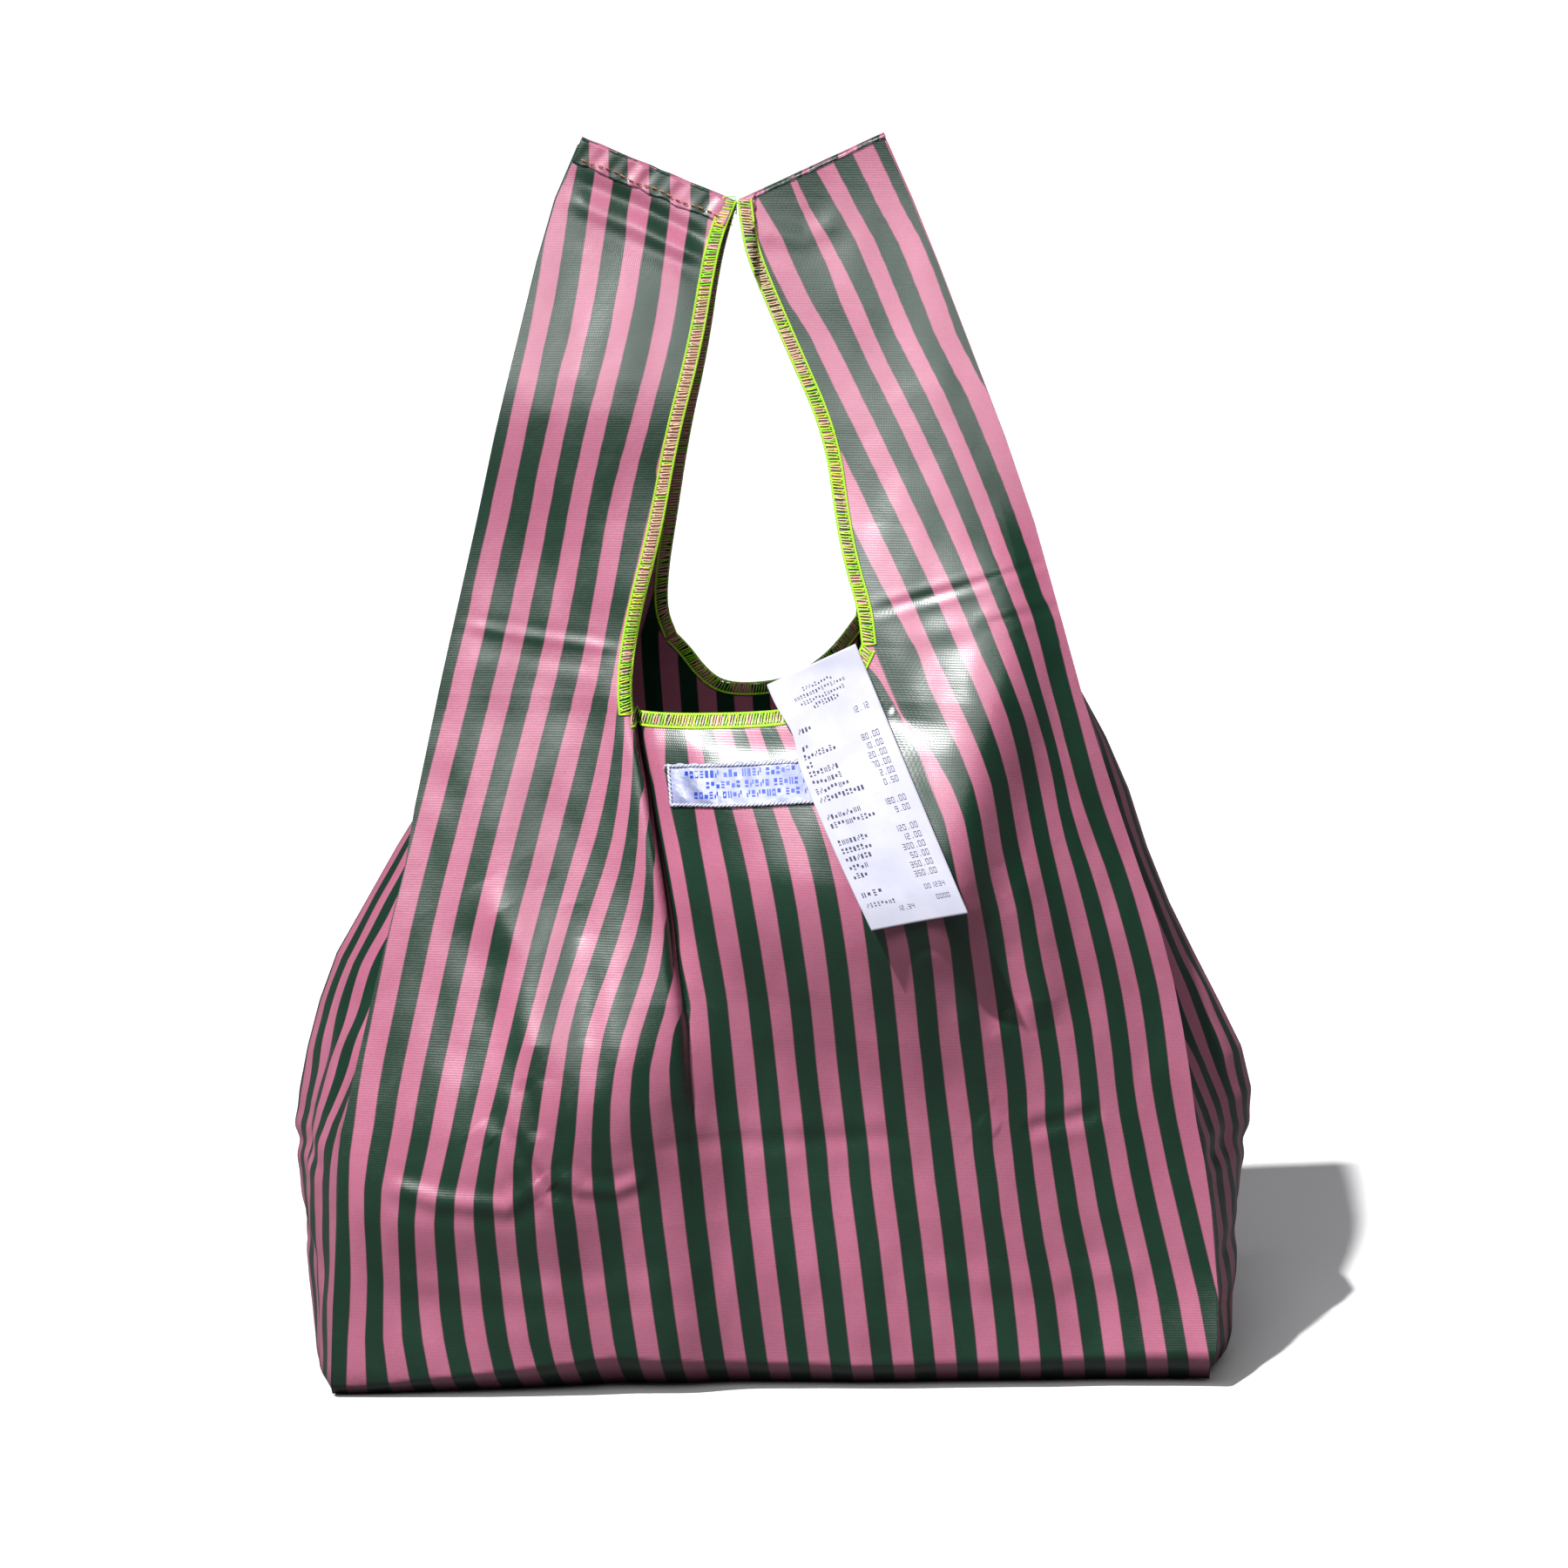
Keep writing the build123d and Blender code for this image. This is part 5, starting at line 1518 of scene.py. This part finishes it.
# seven-segment digits on a 3 by 5 field
SEGMENTS = {"a": (0, 4.4, 3, 5), "b": (2.4, 2.5, 3, 5), "c": (2.4, 0, 3, 2.5),
            "d": (0, 0, 3, 0.6), "e": (0, 0, 0.6, 2.5), "f": (0, 2.5, 0.6, 5),
            "g": (0, 2.2, 3, 2.8)}
DIGITS = ("abcdef", "bc", "abged", "abgcd", "fgbc", "afgcd", "afgedc", "abc", "abcdefg", "abcdfg")
# main list of the slip: letters in the word, number at the right
SLIP_LINES = [(4, "12.12"), (0, ""), (2, ""), (9, "80.00"), (2, "10.00"), (8, "20.00"),
              (8, "70.00"), (9, "2.00"), (12, "0.50"), (0, ""), (9, "180.00"), (12, "9.00"),
              (0, ""), (8, "120.00"), (8, "12.00"), (7, "300.00"), (5, "50.00"), (4, "350.00"),
              (0, "350.00")]
slip_marks = Marks(slip_place)


def slip_word(x, y, w, h, letters, pitch):
    for k in range(letters):
        slip_marks.glyph(random_glyph(), x + k * pitch, y, w, h, fill=0.82)


def slip_number(right_x, y, w, h, text, pitch):
    x = right_x - pitch * len(text)
    for character in text:
        if character == ".":
            slip_marks.rectangle(x + 0.5, y, x + 0.9, y + 0.4)
        else:
            slip_marks.glyph([SEGMENTS[s] for s in DIGITS[int(character)]], x, y, w, h)
        x += pitch


y = 112.5
for letters, height in ((10, 1.9), (17, 1.9), (15, 1.9), (9, 2.4)):
    slip_word(22 - letters * 0.78, y, w=1.0, h=height, letters=letters, pitch=1.5)
    y -= 2.9
y = 96.0
for letters, number in SLIP_LINES:
    slip_word(3.0, y - 0.2, w=1.4, h=2.7, letters=letters, pitch=1.75)
    slip_number(39.5, y - 1.2, w=1.25, h=2.7, text=number, pitch=1.75)
    y -= 4.15
slip_word(3.0, y - 1.2, w=1.9, h=3.0, letters=4, pitch=2.6)
slip_number(40.5, y - 3.0, w=1.15, h=2.2, text="001234", pitch=1.6)
slip_word(3.0, y - 6.2, w=1.2, h=2.2, letters=8, pitch=1.7)
slip_number(23.5, y - 10.4, w=1.15, h=2.2, text="12.34", pitch=1.6)
slip_number(40.5, y - 8.4, w=1.15, h=2.2, text="0000", pitch=1.6)
slip_print = slip_marks.build("slip_marks", GREY_INK)


# ---------------------------------------------------------------- thread where the straps meet
def thread_ends():
    """Seven loose ends that wander at random inside a small box."""
    tubes = Tubes()
    for k in range(7):
        r = np.random.default_rng(40 + k)
        pts = [np.array([-19.5, -4.2, 572.0]) + r.normal(0, 1.0, 3) * [1, 0.4, 1]]
        d = r.normal(0, 1, 3) * [1, 0.25, 0.8]
        for _ in range(14):
            d = d * 0.8 + r.normal(0, 0.8, 3) * [1, 0.25, 1]
            pts.append(np.clip(pts[-1] + d * 0.75, (-27, -7.2, 557), (-19.0, -4.0, 576)))
        tubes.add(pts, 0.19, sides=5, tint=float(r.uniform(0, 1)))
    return tubes.build("neon_thread_ends", THREAD)


tangle = thread_ends()

# ---------------------------------------------------------------- bodies
for ob in body + [overlocks["front_neck"], overlocks["back_neck"]]:
    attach(ob, "bag_body")
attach(slip, "receipt_slip")
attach(slip_print, "receipt_slip")
for tag, strap in STRAPS.items():
    group = strap_cloth[tag] + [hems[tag], stitches[tag], overlocks[f"{tag}_strap_front"],
                                overlocks[f"{tag}_strap_back"]]
    if tag == "left":
        group.append(tangle)
    for ob in group:
        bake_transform(ob)


# ---------------------------------------------------------------- floor, light, camera (metres)
def floor_material():
    """Pale to the camera and dark to other rays, with a painted glow for the camera that lifts the
    floor's shade and fades out at the bag's foot, leaving painted shade next to it.
    """
    m = Nodes("studio_floor")
    place = m.object_place()
    patch = m.step(m.noise(place, scale=0.8), lo=0.3, hi=0.7)
    pale = m.mix(patch, (0.93, 0.93, 0.94, 1), (0.95, 0.95, 0.95, 1))
    seen = m.node("ShaderNodeLightPath").outputs["Is Camera Ray"]
    gloss = m.node("ShaderNodeLightPath").outputs["Is Glossy Ray"]
    colour = m.mix(gloss, m.mix(seen, (0.1, 0.1, 0.1, 1), pale), (0.12, 0.12, 0.12, 1))
    split = m.split(place)
    # the floor's own origin is at y = 20; half the foot is 0.205 by 0.100
    away = m.math("MAXIMUM", m.sub(m.math("ABSOLUTE", split[0]), 0.205),
                  m.sub(m.math("ABSOLUTE", m.add(split[1], 20.0)), 0.100))
    # painted light: a glow seen only by the camera, nothing at the foot and full strength 90 mm off it
    glow = m.mul(m.mul(m.step(away, lo=0.0, hi=0.09), seen), 0.075)
    m.surface({"Base Color": colour, "Emission Color": (0.98, 0.96, 1.0, 1),
               "Emission Strength": glow, "Roughness": 0.8, "Specular IOR Level": 0.1})
    return m.mat


def add_object(name, data):
    ob = bpy.data.objects.new(name, data)
    bpy.context.scene.collection.objects.link(ob)
    return ob


def aim(ob, direction):
    ob.rotation_euler = direction.to_track_quat("-Z", "Y").to_euler()


def key_sun():
    light = bpy.data.lights.new("key_sun", "SUN")
    light.energy = 4.7
    light.angle = math.radians(1.6)
    ob = add_object("key_sun", light)
    aim(ob, Vector((0.49, 0.62, -1.0)))
    return ob


def strip_gloss():
    """Wide soft strip above and in front of the bag."""
    light = bpy.data.lights.new("strip_gloss", "AREA")
    light.shape = "RECTANGLE"
    light.size, light.size_y = 2.3, 0.75
    light.energy = 21
    ob = add_object("strip_gloss", light)
    ob.location = (-0.22, -1.95, 1.66)
    aim(ob, Vector((0, 0, 0.46)) - Vector((-0.22, -1.95, 1.66)))
    return ob


def studio_world():
    """White to the camera, dim to everything else."""
    world = bpy.data.worlds.new("studio_world")
    bpy.context.scene.world = world
    world.use_nodes = True
    tree = world.node_tree
    dim = next(n for n in tree.nodes if n.type == "BACKGROUND")
    dim.inputs["Color"].default_value = (0.96, 0.97, 1.0, 1)
    dim.inputs["Strength"].default_value = 0.09
    white = tree.nodes.new("ShaderNodeBackground")
    white.inputs["Color"].default_value = (1.0, 1.0, 1.0, 1)
    white.inputs["Strength"].default_value = 1.05
    mix = tree.nodes.new("ShaderNodeMixShader")
    ray = tree.nodes.new("ShaderNodeLightPath")
    out = next(n for n in tree.nodes if n.type == "OUTPUT_WORLD")
    tree.links.new(ray.outputs["Is Camera Ray"], mix.inputs[0])
    tree.links.new(dim.outputs[0], mix.inputs[1])
    tree.links.new(white.outputs[0], mix.inputs[2])
    tree.links.new(mix.outputs[0], out.inputs[0])


def photo_camera(distance=1.9, elevation=math.radians(8.0)):
    camera = bpy.data.cameras.new("photo_camera")
    camera.lens = 87.12
    camera.sensor_width = 36.0
    ob = add_object("photo_camera", camera)
    target = Vector((0.0043, 0, 0.2854))
    ob.location = target + Vector((0, -math.cos(elevation), math.sin(elevation))) * distance
    aim(ob, target - ob.location)
    bpy.context.scene.camera = ob


bpy.ops.mesh.primitive_plane_add(size=60, location=(0, 20, -0.0006))
floor = bpy.context.object
floor.name = "studio_floor"
floor.data.materials.append(floor_material())
stage = [floor, key_sun(), strip_gloss()]
studio_world()
bpy.context.scene.view_settings.view_transform = "Standard"
photo_camera()
